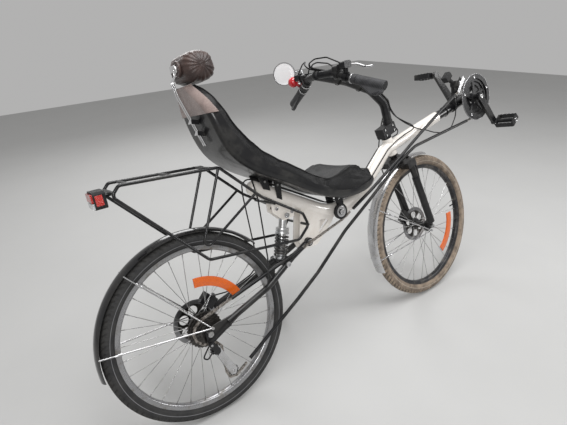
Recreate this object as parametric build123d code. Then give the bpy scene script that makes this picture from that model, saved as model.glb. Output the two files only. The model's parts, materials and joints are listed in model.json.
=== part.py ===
from build123d import *
import math
import os

# Recumbent bicycle. Millimetres. It is drawn upright, X forward, Y to the rider's left, Z up,
# from the middle of the rear axle, and then leaned over onto its side stand on the ground Z = 0.

# Driving dimensions
wheelbase = 1139.0
tyre_radius = 23.5            # half the width of the tyre
tyre_centre_radius = 302.5    # circle of the middle of the tyre
parked_lean = 13.0            # to the rider's left, onto the stand
parked_steer = 2.3            # to the rider's left
fit_gap = 0.05                # radial clearance of shafts in their bores

# Steering
head_angle = 73.0             # from the ground
fork_offset = 20.0            # wheel axle ahead of the steering axis
crown_height = 343.0          # underside of the crown's middle, up the steering axis from the axle
crown_top = 372.0
shoulder_bottom = 322.0
shoulder_top = 348.0
shoulder_half_width = 79.0
crown_depth = 52.0
crown_boss_radius = 32.0
head_tube_bottom = 390.0
head_tube_top = 468.0
cup_height = 7.0
stem_bottom = 477.0
stem_top = 520.0
steerer_radius = 14.3
head_tube_bore = steerer_radius + 2.7
head_tube_radius = head_tube_bore + 5.0
fork_leg_spread = 62.0
stanchion_radius = 13.0
fork_leg_radius = 16.0

# Main frame
main_tube_radius = 28.0
front_tube_radius = 25.0
boom_radius = 20.5
boom_insertion = 120.0
boom_reach = 239.5            # from the front tube's mouth to the bottom bracket
tube_rear = (305.0, 402.0)
tube_dip = (600.0, 225.0)
tube_rise = (752.0, 222.0)
tube_bend = (965.0, 395.0)
tube_front = (1316.0, 471.0)
plate_offset = 20.0           # pivot plates from the middle plane
plate_thickness = 6.0

# Cranks and pedals
bb_shell_radius = 21.0
bb_shell_width = 68.0
spindle_radius = 8.5
crank_length = 170.0
crank_angle = -53.0           # of the right crank, in the side view, from forwards
crank_inner = 70.0            # from the middle plane to the crank's inner face
crank_thickness = 16.0
chain_plane = 47.0            # chain line, to the rider's right
ring_spacing = 6.0
ring_radii = (60.0, 81.0, 97.0)
guard_radius = 108.0
pedal_length = 92.0
pedal_width = 62.0
pedal_height = 24.0
pedal_axle_radius = 6.0

# Wheels
rim_outer_radius = tyre_centre_radius - 14.5
rim_inner_radius = rim_outer_radius - 23.0
rim_half_width = 12.5
spoke_radius = 1.1
spoke_count = 32
front_dropout = 50.0          # half the width between the dropouts
rear_dropout = 67.5
dropout_thickness = 6.0
axle_radius = 5.0
hub_gap = 1.5                 # between a hub's end and the dropout
disc_thickness = 2.0

# Fenders, rack and stays
fender_clearance = 15.0       # above the tread
fender_radius = tyre_centre_radius + tyre_radius + fender_clearance
fender_half_width = 27.0
fender_thickness = 2.0
rack_tube_radius = 5.0
rack_half_width = 68.0
stay_radius = 2.5

# Chain run
chain_width = 6.5
chain_height = 9.0
chain_tube_radius = 6.5
idler_centre = (633.0, 224.0)
idler_radius = 29.3
cog_radius = 40.0
cog_table = ((29.0, 60.0), (35.0, 53.0), (41.0, 47.0), (47.0, 40.0), (53.0, 34.0), (59.0, 28.0))
guide_pulley = (12.0, -74.0)
tension_pulley = (56.0, -178.0)
pulley_radius = 19.0

# Swingarm and shock
pivot = (472.0, 150.0)
pivot_half_width = 38.0
pivot_boss_radius = 16.0
pivot_bolt_radius = 6.0
arm_radius = 11.0
shock_top = (403.0, 276.0)
shock_bottom = (352.0, 108.0)
shock_eye_radius = 10.0

# Seat
shell_thickness = 5.0
shell_corner = 20.0
cushion_gap = 0.5
cap_thickness = 5.0
cap_hem = 682.0               # height of the cap's lower edge
headrest_size = (110.0, 174.0, 98.0)
headrest_centre = (178.0, 0.0, 825.0)
headrest_round = 46.0

# Side stand
stand_pivot = (335.0, 72.0, 45.0)
stand_foot_x = 450.0
stand_foot_y = 270.0          # on the ground, from the line of the tyres' contact
stand_leg_radius = 8.0
stand_pin_radius = 5.0

# Handlebar
riser_radius = 18.0
bar_radius = 14.0
grip_radius = 17.0
grip_gap = 13.0               # bare bar between the last bend and the grip
clamp_radius = 19.0           # of the levers', shifters' and mirror's clamps on the bar
wing_thickness = 12.0         # of the palm rest on each grip
mirror_radius = 47.0
bell_radius = 21.0
cable_radius = 2.5

lean = math.radians(parked_lean)
axle_height = tyre_centre_radius * math.cos(lean) + tyre_radius
axle_shift = tyre_centre_radius * math.sin(lean)
head = math.radians(head_angle)
steer_up = Vector(-math.cos(head), 0, math.sin(head))
steer_forward = Vector(math.sin(head), 0, math.cos(head))
steer_foot = Vector(wheelbase, 0, 0) - steer_forward * fork_offset
steering_axis = Axis(steer_foot, steer_up)
mouth = Vector(tube_front[0], 0, tube_front[1])
bend = Vector(tube_bend[0], 0, tube_bend[1])
front_line = (mouth - bend).normalized()
bottom_bracket = mouth + front_line * boom_reach
front_axle_place = (wheelbase, 0.0)
front_tube_start = bend + front_line * 45


def upright_point(x, y, z):
    """Where a point of the parked bicycle is in the upright one."""
    dy, dz = y - axle_shift, z - axle_height
    return Vector(x, dy * math.cos(lean) - dz * math.sin(lean), dy * math.sin(lean) + dz * math.cos(lean))


def on_steerer(height, forward=0.0, left=0.0):
    """A point along the steering axis, ahead of it and to its left."""
    return steer_foot + steer_up * height + steer_forward * forward + Vector(0, left, 0)


def rod(start, end, radius):
    start, end = Vector(*start), Vector(*end)
    plane = Plane(origin=start, z_dir=end - start)
    return extrude(plane * Circle(radius), amount=(end - start).length)


def ring(start, end, outer, inner):
    return rod(start, end, outer) - rod(start, end, inner)


def pipe(points, radius, bends):
    """A round tube along straight runs with tangent arcs."""
    path = FilletPolyline(*points, radius=bends)
    return sweep(Plane(origin=path @ 0, z_dir=path % 0) * Circle(radius), path=path)


def band(points, bends, width, height):
    """A flat link chain along straight runs with tangent arcs in a side plane."""
    path = FilletPolyline(*points, radius=bends)
    section = Plane(origin=path @ 0, x_dir=(0, 1, 0), z_dir=path % 0) * Rectangle(width, height)
    return sweep(section, path=path)


def side_plate(points, y, thickness):
    """A flat plate in the side view, centred on the plane y."""
    outline = Plane(origin=(0, y + thickness / 2, 0), x_dir=(1, 0, 0), z_dir=(0, -1, 0))
    return extrude(outline * make_face(Polyline(*points, close=True)), amount=thickness)


def disc(centre, low, high, radius):
    """A disc across the bicycle, from y = low to y = high."""
    x, z = centre
    return rod((x, low, z), (x, high, z), radius)


def side(points, y):
    return [(x, y, z) for x, z in points]


def mirrored(shape):
    return mirror(shape, about=Plane.XZ)


def fused(shapes):
    shapes = list(shapes)
    whole = shapes[0]
    for shape in shapes[1:]:
        whole = whole + shape
    return whole


def between(start, end, share):
    start, end = Vector(*start), Vector(*end)
    return start + (end - start) * share


rear_axle_place = (0.0, 0.0)
bb_place = (bottom_bracket.X, bottom_bracket.Z)
nodes = {}

# Main frame: one bent tube, the front tube, head tube, pivot plates and shock plates
tube_run = [tube_rear, tube_dip, tube_rise, tube_bend, (front_tube_start.X, front_tube_start.Z)]
frame = pipe(side(tube_run, 0), main_tube_radius, [200.0, 150.0, 60.0])
frame += Pos(tube_rear[0], 0, tube_rear[1]) * Sphere(main_tube_radius)
frame += rod(bend + front_line * 25, mouth, front_tube_radius)
frame += rod(on_steerer(head_tube_bottom), on_steerer(head_tube_top), head_tube_radius)
frame -= rod(on_steerer(head_tube_bottom - 1), on_steerer(head_tube_top + 1), head_tube_bore)
frame -= rod(mouth + front_line, mouth - front_line * boom_insertion, boom_radius + fit_gap)
pivot_plate = [(470.0, 285.0), (622.0, 215.0), (602.0, 188.0), (517.0, 124.0), (448.0, 124.0),
               (436.0, 155.0)]
plate_window = [(548.0, 214.0), (590.0, 202.0), (532.0, 160.0)]
for y in (-plate_offset, plate_offset):
    plate = side_plate(pivot_plate, y, plate_thickness) - side_plate(plate_window, y, plate_thickness + 2)
    frame += plate - disc(pivot, y - plate_thickness, y + plate_thickness, pivot_bolt_radius + fit_gap)
shock_plate = [(352.0, 350.0), (450.0, 300.0), (436.0, 262.0), (390.0, 258.0), (350.0, 300.0)]
for y in (-17.0, 17.0):
    plate = side_plate(shock_plate, y, 4.0)
    for x, z in ((368.0, 310.0), (430.0, 282.0)):
        plate -= disc((x, z), y - 5, y + 5, 6.0)
    frame += plate - disc(shock_top, y - 5, y + 5, 4.0)
nodes["main_frame"] = frame

cups = []
for low, high, seat_end in ((head_tube_bottom - cup_height, head_tube_bottom, head_tube_bottom + 12),
                            (head_tube_top, head_tube_top + cup_height, head_tube_top - 12)):
    cup = rod(on_steerer(low), on_steerer(high), head_tube_radius)
    cup += rod(on_steerer(min(low, seat_end)), on_steerer(max(high, seat_end)), head_tube_bore)
    cups.append(cup - rod(on_steerer(300), on_steerer(600), steerer_radius + fit_gap))
nodes["headset"] = Compound(cups)

boom = rod(mouth - front_line * (boom_insertion - 5), bottom_bracket, boom_radius)
boom += disc(bb_place, -bb_shell_width / 2, bb_shell_width / 2, bb_shell_radius)
nodes["boom"] = boom - disc(bb_place, -60, 60, spindle_radius + fit_gap)

# Swingarm: pivot bosses and bolt, two arms, a cross tube for the shock, and the dropouts
arm_elbow, arm_middle = (390.0, 31.0, 118.0), (250.0, 62.0, 62.0)
arm = pipe([(pivot[0], 25.0, pivot[1]), arm_elbow, arm_middle, (70.0, 71.0, 12.0)], arm_radius, 100.0)
arm += mirrored(arm)
inner_face = plate_offset + plate_thickness / 2 + 0.2
arm -= Box(200, 2 * inner_face, 200).moved(Pos(pivot[0], 0, pivot[1]))
for sign in (-1, 1):
    boss = sorted((sign * inner_face, sign * pivot_half_width))
    arm += disc(pivot, *boss, pivot_boss_radius)
arm += disc(pivot, -pivot_half_width, pivot_half_width, pivot_bolt_radius)
sleeve = plate_offset - plate_thickness / 2 - 0.2
arm += disc(pivot, -sleeve, sleeve, 12.0)
arm += disc(shock_bottom, -54, 54, 7.0)
dropout = [(96.0, 30.0), (78.0, -6.0), (16.0, -22.0), (-4.0, -46.0), (-14.0, -40.0), (-15.0, 8.0),
           (8.0, 20.0)]
for sign in (-1, 1):
    middle = sign * (rear_dropout + dropout_thickness / 2)
    arm += side_plate(dropout, middle, dropout_thickness)
arm -= disc(rear_axle_place, -100, 100, axle_radius + fit_gap)
nodes["swingarm"] = arm

# Shock: eyes, damper body and rod, and the coil around them
shock_low = Vector(shock_bottom[0], 0, shock_bottom[1])
shock_high = Vector(shock_top[0], 0, shock_top[1])
shock_line = (shock_high - shock_low).normalized()
shock_length = (shock_high - shock_low).length
shock = disc(shock_bottom, -11, 11, shock_eye_radius + 3) + disc(shock_top, -11, 11, shock_eye_radius)
shock += disc(shock_top, -24, 24, 3.9)
shock += rod(shock_low, shock_high, 8.0)
for low, high, radius in ((12, 20, 26.0), (108, 116, 24.0), (116, shock_length - 8, 15.0)):
    shock += rod(shock_low + shock_line * low, shock_low + shock_line * high, radius)
nodes["rear_shock"] = shock - disc(shock_bottom, -12, 12, 7.0)
nodes["shock_spring"] = ring(shock_low + shock_line * 20.2, shock_low + shock_line * 107.8, 27.5, 20.5)

# Wheels: tyre, rim, spokes, hub and brake disc, for each wheel
wheel_table = {
    # name: (centre, dropout half width, left flange y, right flange y, flange radius, disc radius, disc y)
    "front": (front_axle_place, front_dropout, 33.0, -33.0, 22.0, 80.0, 41.0),
    "rear": (rear_axle_place, rear_dropout, 34.0, -18.0, 24.0, 80.0, 52.0),
}
for name, (centre, half, left, right, flange, disc_radius, disc_y) in wheel_table.items():
    cx, cz = centre
    hub_plane = Plane(origin=(cx, 0, cz), x_dir=(1, 0, 0), z_dir=(0, -1, 0))
    tyre = hub_plane * Torus(tyre_centre_radius, tyre_radius)
    tyre -= disc(centre, -rim_half_width - 0.2, rim_half_width + 0.2, rim_outer_radius + 0.2)
    tyre -= disc(centre, -40, 40, tyre_centre_radius - tyre_radius + 3)
    nodes[name + "_tyre"] = tyre
    rim = disc(centre, -rim_half_width, rim_half_width, rim_outer_radius)
    nodes[name + "_rim"] = rim - disc(centre, -40, 40, rim_inner_radius)
    end = half - hub_gap
    hub = disc(centre, -end, end, 12.0) + disc(centre, right, left, 15.0)
    for y in (left, right):
        hub += disc(centre, y - 2, y + 2, flange + 5)
    hub += disc(centre, disc_y - 3.5, disc_y - 1, 24.0)
    nodes[name + "_hub"] = hub - disc(centre, -90, 90, axle_radius + fit_gap)
    spokes = []
    for index in range(spoke_count):
        angle = 2 * math.pi * index / spoke_count
        y = (left, right)[index % 2]
        way = 1 if index % 4 < 2 else -1
        turn = angle + 0.7 * way
        foot = (cx + (flange + 1) * math.cos(turn), y + 3 * way, cz + (flange + 1) * math.sin(turn))
        reach = rim_inner_radius - 0.3
        rim_end = (cx + reach * math.cos(angle), 2.5 if y > 0 else -2.5, cz + reach * math.sin(angle))
        spokes.append(rod(foot, rim_end, spoke_radius) - disc(centre, y - 2, y + 2, flange + 5))
    nodes[name + "_spokes"] = Compound(spokes)
    rotor = disc(centre, disc_y - 1, disc_y - 1 + disc_thickness, disc_radius)
    rotor -= disc(centre, disc_y - 5, disc_y + 5, 12.05)
    for index in range(6):
        angle = 2 * math.pi * (index + 0.5) / 6
        hole = (cx + 44 * math.cos(angle), cz + 44 * math.sin(angle))
        rotor -= disc(hole, disc_y - 5, disc_y + 5, 17.0)
    nodes[name + "_brake_disc"] = rotor

# Axles, with their nuts
for name, (centre, half, *rest) in wheel_table.items():
    outside = half + dropout_thickness
    axle = disc(centre, -outside - 8, outside + 8, axle_radius)
    for low, high in ((outside + 0.1, outside + 8), (-outside - 8, -outside - 0.1)):
        axle += disc(centre, low, high, 10.0)
    nodes[name + "_axle"] = axle
cogs = [disc(rear_axle_place, -1 - y, 1 - y, radius) - disc(rear_axle_place, -90, 90, 17.0)
        for y, radius in cog_table]
core = disc(rear_axle_place, -62, -24, 17.2) - disc(rear_axle_place, -90, 90, 12.05)
nodes["cassette"] = fused(cogs + [core])

# Fork: steerer and crown with the stanchions, and the two lower legs with the dropouts
steerer = rod(on_steerer(crown_height), on_steerer(stem_top - 5), steerer_radius)
steerer += rod(on_steerer(crown_height), on_steerer(crown_top), crown_boss_radius)
gap_half_width = fender_half_width + 2.5
crown_outline = [(-gap_half_width, crown_height), (gap_half_width, crown_height),
                 (gap_half_width + 5, shoulder_bottom),
                 (shoulder_half_width, shoulder_bottom), (shoulder_half_width, shoulder_top),
                 (-shoulder_half_width, shoulder_top), (-shoulder_half_width, shoulder_bottom),
                 (-gap_half_width - 5, shoulder_bottom)]
crown_back = on_steerer(0, fork_offset / 2 - crown_depth / 2)
crown_plane = Plane(origin=crown_back, x_dir=(0, 1, 0), z_dir=steer_forward)
steerer += extrude(crown_plane * make_face(Polyline(*crown_outline, close=True)), amount=crown_depth)
lowers = []
for sign in (-1, 1):
    y = sign * fork_leg_spread
    stanchion_top = on_steerer(shoulder_top, fork_offset, y)
    steerer += rod(on_steerer(120, fork_offset, y), stanchion_top, stanchion_radius)
    leg = rod(on_steerer(26, fork_offset, y), on_steerer(262, fork_offset, y), fork_leg_radius)
    leg -= rod(on_steerer(119, fork_offset, y), on_steerer(270, fork_offset, y), stanchion_radius + fit_gap)
    tab_y = sign * (front_dropout + dropout_thickness / 2)
    tab = [(on_steerer(*place).X, on_steerer(*place).Z)
           for place in ((70, 12), (70, 28), (-6, 34), (-12, 20), (-6, 6))]
    leg += side_plate(tab, tab_y, dropout_thickness)
    lowers.append(leg - disc(front_axle_place, -90, 90, axle_radius + fit_gap))
nodes["steerer"] = steerer
arch_points = [(240, 34, 62), (308, 46, 60), (351, 47, 34), (351, 47, -34), (308, 46, -60), (240, 34, -62)]
arch = pipe([tuple(on_steerer(*point)) for point in arch_points], 7.0, [30.0, 24.0, 24.0, 30.0])
for y in (-fork_leg_spread, fork_leg_spread):
    arch -= rod(on_steerer(119, fork_offset, y), on_steerer(310, fork_offset, y), stanchion_radius + 0.4)
nodes["fork_lowers"] = lowers[0] + arch + lowers[1]

# Fenders and their stays
fender_table = {
    # name: (wheel centre, first and last angle from forwards)
    "front_fender": (front_axle_place, 80.0, 201.0),
    "rear_fender": (rear_axle_place, 41.0, 185.0),
}
for name, ((cx, cz), first, last) in fender_table.items():
    start = math.radians(first)
    section = Plane(origin=(cx, 0, cz), x_dir=(math.cos(start), 0, math.sin(start)),
                    z_dir=(-math.sin(start), 0, math.cos(start)))
    r, w, t = fender_radius, fender_half_width, fender_thickness
    outer = ThreePointArc((r - 9, -w), (r, 0), (r - 9, w))
    inner = ThreePointArc((r - 9 - t, -w), (r - t, 0), (r - 9 - t, w))
    profile = make_face([outer, Line(outer @ 1, inner @ 1), inner, Line(inner @ 0, outer @ 0)])
    nodes[name] = revolve(section * profile, axis=Axis((cx, 0, cz), (0, -1, 0)), revolution_arc=last - first)
nodes["steerer"] += rod(on_steerer(crown_height - 3), on_steerer(crown_height), 9.0) - nodes["front_fender"]
stay_table = {
    # name: (eyelet in the side view, its y, ends on the fender's edge)
    "rear_fender_stays": ((12.0, 16.0), rear_dropout + dropout_thickness + 4,
                          ((-197.0, 270.0), (-329.0, 52.0))),
    "front_fender_stays": ((wheelbase - 10.0, -18.0), 62.0,
                           ((wheelbase - 294.0, 160.0), (wheelbase - 327.0, -54.0))),
}
for name, (eyelet, y, clamps) in stay_table.items():
    stays = []
    for x, z in clamps:
        for sign in (-1, 1):
            edge_y = sign * (fender_half_width + 1.5)
            stay = rod((eyelet[0], sign * y, eyelet[1]), (x, edge_y, z), stay_radius)
            stays.append(stay - nodes[name.replace("_stays", "")])
    for sign in (-1, 1):
        pair = stays[0 if sign < 0 else 1] + stays[2 if sign < 0 else 3]
        low, high = sorted((sign * (y - 4), sign * (y + 3)))
        stays.append(pair + disc(eyelet, low, high, 5.0) - nodes[name.replace("_fender_stays", "_axle")])
    nodes[name] = Compound(stays[4:])

# Rear rack: a bent loop with an inner strut on each side, and cross rods
loop_points = [(-171.0, 511.0), (-146.0, 537.0), (162.0, 514.0), (293.0, 380.0), (445.0, 275.0),
               (460.0, 226.0), (410.0, 186.0), (62.0, 236.0)]
loop_bends = [16, 16, 30, 60, 24, 20, 26, 22]
path = FilletPolyline(*side(loop_points, rack_half_width), radius=loop_bends, close=True)
rack = sweep(Plane(origin=path @ 0, z_dir=path % 0) * Circle(rack_tube_radius), path=path)
strut_points = [(160.0, 512.0), (41.0, 262.0), (273.0, 399.0)]
rack += pipe(side(strut_points, rack_half_width), rack_tube_radius - 0.5, 14.0)
rack += mirrored(rack)
for x, z in ((-120.0, 535.1), (10.0, 525.3), (140.0, 515.5), (-163.0, 519.0), (338.0, 344.0)):
    rack += disc((x, z), -rack_half_width, rack_half_width, rack_tube_radius) - nodes["main_frame"]
for sign in (-1, 1):
    low, high = sorted((sign * (plate_offset + plate_thickness / 2 + 0.1), sign * rack_half_width))
    rack += disc((460.0, 228.0), low, high, rack_tube_radius)
rack += Pos(-170.9, 0, 512) * Box(20, 40, 6)
nodes["rear_rack"] = rack
lamp_box = Box(34, 84, 52)
nodes["tail_light"] = Pos(-198, 0, 506) * fillet(lamp_box.edges().filter_by(Axis.X), 12.0)

# Shell and cushion of the seat: stations along the shell's underside
seat_table = [
    # (x, z, half width, shell side height, dip of the cushion's middle, cushion edge)
    (128.0, 769.0, 42.0, 21.0, 3.0, 34.0),
    (132.0, 752.0, 62.0, 22.0, 4.0, 40.0),
    (138.0, 732.0, 81.0, 24.0, 6.0, 46.0),
    (147.0, 700.0, 104.0, 28.0, 10.0, 52.0),
    (165.0, 625.0, 118.0, 40.0, 20.0, 64.0),
    (200.0, 540.0, 120.0, 50.0, 34.0, 78.0),
    (262.0, 478.0, 122.0, 46.0, 30.0, 72.0),
    (392.0, 400.0, 124.0, 34.0, 22.0, 62.0),
    (535.0, 316.0, 124.0, 30.0, 22.0, 70.0),
    (640.0, 286.0, 120.0, 30.0, 14.0, 114.0),
    (722.0, 284.0, 112.0, 30.0, 10.0, 106.0),
    (793.0, 304.0, 94.0, 26.0, 6.0, 62.0),
]


def seat_plane(index):
    x, z = seat_table[index][:2]
    before = seat_table[max(index - 1, 0)]
    after = seat_table[min(index + 1, len(seat_table) - 1)]
    along = Vector(after[0] - before[0], 0, after[1] - before[1]).normalized()
    return Plane(origin=(x, 0, z), x_dir=(0, 1, 0), z_dir=along)


def tray(half, low, high, corner, dip=0.0):
    """A section with upright sides, rounded lower corners and a flat or dipped top."""
    k = corner * (1 - math.sqrt(0.5))
    top = Line((half, high), (-half, high))
    if dip:
        top = ThreePointArc((half, high), (0, high - dip), (-half, high))
    return make_face([
        Line((-half, high), (-half, low + corner)),
        ThreePointArc((-half, low + corner), (-half + k, low + k), (-half + corner, low)),
        Line((-half + corner, low), (half - corner, low)),
        ThreePointArc((half - corner, low), (half - k, low + k), (half, low + corner)),
        Line((half, low + corner), (half, high)), top])


shell_faces, hollow_faces, cushion_faces, cap_faces = [], [], [], []
for index, (x, z, half, side_height, dip, edge) in enumerate(seat_table):
    plane = seat_plane(index)
    t, b = shell_thickness, shell_thickness + cushion_gap
    shell_faces.append(plane * tray(half, 0, side_height, shell_corner))
    hollow_faces.append(plane * tray(half - t, t, side_height + 1, shell_corner - t))
    cushion_faces.append(plane * tray(half - b, b, edge, shell_corner - b, dip))
    cap_faces.append(plane * tray(half + cap_thickness, -cap_thickness, side_height - 0.5,
                                  shell_corner + cap_thickness))
seat_block = loft(shell_faces)
nodes["seat_shell"] = seat_block - loft(hollow_faces)
cushion = loft(cushion_faces) - nodes["seat_shell"]
nodes["seat_cushion"] = cushion.solids().sort_by(SortBy.VOLUME)[-1]

# Fabric cap over the top of the shell, closed at the top and open below and in front
cap_top = extrude(cap_faces[0], amount=cap_thickness, dir=tuple(-seat_plane(0).z_dir))
cap = loft(cap_faces[:5]) + cap_top - seat_block - nodes["seat_cushion"]
cap -= Pos(165.0, 0, cap_hem - 200) * Box(300, 400, 400)
nodes["seat_cap"] = cap.solids().sort_by(SortBy.VOLUME)[-1]

# Headrest on its two bent rods, clamped to the seat's back
nodes["headrest"] = Pos(*headrest_centre) * fillet(Box(*headrest_size).edges(), headrest_round)
rod_points = [(120.0, 830.0), (120.0, 810.0), (104.0, 792.0), (110.0, 752.0), (137.0, 668.0), (163.0, 585.0)]
rods = []
for y in (-7.0, 7.0):
    rods.append(pipe(side(rod_points, y), 3.0, [10, 10, 30, 60]))
holder = fused(rods)
holder += Pos(120.0, 0, 830.0) * Box(13, 34, 20)
for x, z in ((144.0, 664.0), (156.0, 625.0)):
    holder += Pos(x, 0, z) * Rot(0, 17, 0) * Box(26, 30, 14)
holder = holder - nodes["headrest"] - seat_block - nodes["seat_cap"] - nodes["seat_cushion"]
nodes["headrest_rods"] = holder.solids().sort_by(SortBy.VOLUME)[-1]

# Seat brackets, plates down to the main tube
bracket_table = [
    [(310.0, 452.0), (348.0, 432.0), (352.0, 384.0), (326.0, 396.0)],
    [(372.0, 424.0), (400.0, 406.0), (392.0, 338.0), (374.0, 350.0)],
    [(628.0, 296.0), (668.0, 296.0), (668.0, 214.0), (640.0, 214.0)],
]
plates = []
for outline in bracket_table:
    for sign in (-1, 1):
        plate = side_plate(outline, sign * (main_tube_radius + 2.1), 4.0)
        plates.append(plate - nodes["seat_shell"] - nodes["main_frame"])
nodes["seat_brackets"] = Compound([plate.solids().sort_by(SortBy.VOLUME)[-1] for plate in plates])

# Idler pulley on its bracket under the tube
y = -chain_plane
idler = disc(idler_centre, y - 4, y + 4, idler_radius)
idler += disc(idler_centre, y - 7, y - 4, idler_radius + 1)
idler += disc(idler_centre, y - 10, -main_tube_radius + 6, 6.0)
nodes["idler"] = idler - nodes["main_frame"] - nodes["seat_brackets"]

# Chain: bare stretches and the tubes around the long runs
bb_x, bb_z = bb_place
ring_chain = ring_radii[1] + chain_height / 2 + 1.5
cog_chain = cog_radius + chain_height / 2 + 2.0
front = bb_x + ring_chain
power_slope, return_slope = math.radians(24.2), math.radians(9.3)


def along_tangent(centre, radius, angle, over, x):
    """The point at x on the line touching a circle above (over = 1) or below (over = -1) at a slope."""
    touch_x = centre[0] - over * radius * math.sin(angle)
    touch_z = centre[1] + over * radius * math.cos(angle)
    return (x, touch_z + (x - touch_x) * math.tan(angle))


power_front = along_tangent(bb_place, ring_chain, power_slope, 1, 1410.0)
return_front = along_tangent(bb_place, ring_chain, return_slope, -1, 1480.0)
ring_run = [power_front, along_tangent(bb_place, ring_chain, power_slope, 1, front),
            along_tangent(bb_place, ring_chain, return_slope, -1, front), return_front]
cog_slope = math.radians(12.7)
cog_front = along_tangent((0, 0), cog_chain, cog_slope, 1, 110.0)
idler_run = [(430.0, 142.6), (640.0, 190.0), (700.0, 215.5)]
return_rear = (126.0, -168.6)
mech_run = [cog_front, along_tangent((0, 0), cog_chain, cog_slope, 1, -cog_chain), (-cog_chain, -34.2),
            (37.5, -56.1), (29.0, -220.0), return_rear]
chain_y = -chain_plane
nodes["chain"] = Compound([
    band(side(ring_run, chain_y), ring_chain - 0.6, chain_width, chain_height),
    band(side(idler_run, chain_y), 40.0, chain_width, chain_height),
    band(side(mech_run, chain_y), [cog_chain - 0.6, cog_chain - 0.6, 24.0, 24.0], chain_width, chain_height),
])
power_tube = [(700.0, 215.5), (809.0, 262.0), (992.0, 351.0), (1151.0, 432.0), power_front]
return_tube = [return_rear, (369.0, -39.0), (480.0, 26.0), (640.0, 140.0), (800.0, 228.0), (985.0, 334.0),
               (1100.0, 381.0), return_front]


def shortened(points, gap=0.25):
    """A tube's route, its ends drawn back from where the bare chain starts."""
    ends = []
    for end, beside in ((points[0], points[1]), (points[-1], points[-2])):
        share = gap / math.hypot(beside[0] - end[0], beside[1] - end[1])
        ends.append((end[0] + (beside[0] - end[0]) * share, end[1] + (beside[1] - end[1]) * share))
    return side([ends[0], *points[1:-1], ends[1]], chain_y)


rear_tube = shortened([cog_front, (430.0, 142.6)])
nodes["chain_tubes"] = Compound([
    rod(*rear_tube, chain_tube_radius),
    pipe(shortened(power_tube), chain_tube_radius, 150.0),
    pipe(shortened(return_tube), chain_tube_radius, 120.0),
])

# Derailleurs
mech = disc(guide_pulley, chain_y - 3, chain_y + 3, pulley_radius - 1)
mech += disc(tension_pulley, chain_y - 3, chain_y + 3, pulley_radius - 1)
cage_outline = [(0.0, -66.0), (24.0, -62.0), (70.0, -174.0), (60.0, -192.0), (44.0, -188.0)]
for y in (chain_y - 6, chain_y + 6):
    mech += side_plate(cage_outline, y, 2.0)
for centre in (guide_pulley, tension_pulley):
    mech += disc(centre, chain_y - 8, chain_y + 8, 4.0)
mech += disc(guide_pulley, chain_y - 22, chain_y - 6, 11.0)
mech += side_plate([(-16.0, -36.0), (4.0, -30.0), (22.0, -66.0), (8.0, -86.0)], chain_y - 24, 8.0)
mech += disc((-6.0, -38.0), -rear_dropout - 12, -rear_dropout - 1, 9.0)
nodes["rear_derailleur"] = mech - nodes["swingarm"]
cage_low_front, cage_low_rear = (bb_x - 72, bb_z + 93), (bb_x - 124, bb_z + 33)
cage_high_rear, cage_high_front = (bb_x - 134, bb_z + 48), (bb_x - 84, bb_z + 108)
changer = fused([side_plate([cage_low_front, cage_low_rear, cage_high_rear, cage_high_front], y, 2.0)
                 for y in (chain_y + 8, chain_y - 9)])
mech_body = (bb_x - 156, bb_z + 116)
bridge_at = ((cage_high_rear[0] + cage_high_front[0]) / 2, (cage_high_rear[1] + cage_high_front[1]) / 2)
changer += Pos(bridge_at[0] + 3, chain_y - 0.5, bridge_at[1] - 1) * Rot(0, -50, 0) * Box(26, 19, 5)
changer += Pos(bridge_at[0] + 2, -26, bridge_at[1] + 2) * Box(26, 32, 26)
changer += rod((bridge_at[0], -24, bridge_at[1]), (mech_body[0], -22, mech_body[1]), 9.0)
changer += Pos(mech_body[0], -22, mech_body[1]) * Rot(0, -38, 0) * fillet(Box(46, 30, 30).edges(), 6.0)
post_foot = bottom_bracket - front_line * 110
changer += rod(post_foot - front_line * 9, post_foot + front_line * 9, boom_radius + 4)
changer += rod((post_foot.X, -8, post_foot.Z + 14), (bridge_at[0] + 2, -16, bridge_at[1]), 8.0)
changer -= rod(bottom_bracket - front_line * 240, bottom_bracket, boom_radius + fit_gap)
nodes["front_derailleur"] = changer

# Disc brake calipers
caliper_table = {
    # name: (wheel centre, angle of the pads, disc y, inner and outer side)
    "rear_brake_caliper": (rear_axle_place, 42.0, wheel_table["rear"][6], 43.0, 66.0),
    "front_brake_caliper": (front_axle_place, 140.0, wheel_table["front"][6], 36.4, 53.0),
}
for name, ((cx, cz), angle, disc_y, low, high) in caliper_table.items():
    turn = math.radians(angle)
    middle = (cx + 84 * math.cos(turn), cz + 84 * math.sin(turn))
    outward = (math.cos(turn), 0, math.sin(turn))
    block = Plane(origin=(middle[0], (low + high) / 2, middle[1]), x_dir=outward, z_dir=(0, -1, 0)) * Box(
        42, 56, high - low)
    slot = ring((cx, disc_y - 2.2, cz), (cx, disc_y + 2.2, cz), 92.0, 20.0)
    nodes[name] = block - slot
rear_mount = rod((86.0, 60.0, 66.0), (96.0, 71.0, 24.0), 8.0)
nodes["rear_brake_caliper"] += rear_mount
nodes["rear_brake_caliper"] -= nodes["swingarm"] + nodes["rear_brake_disc"]
front_mount = rod((wheelbase - 65.0, 48.0, 56.0), tuple(on_steerer(78, 20, 58)), 7.0)
nodes["front_brake_caliper"] = nodes["front_brake_caliper"] + front_mount - nodes["fork_lowers"]

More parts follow.
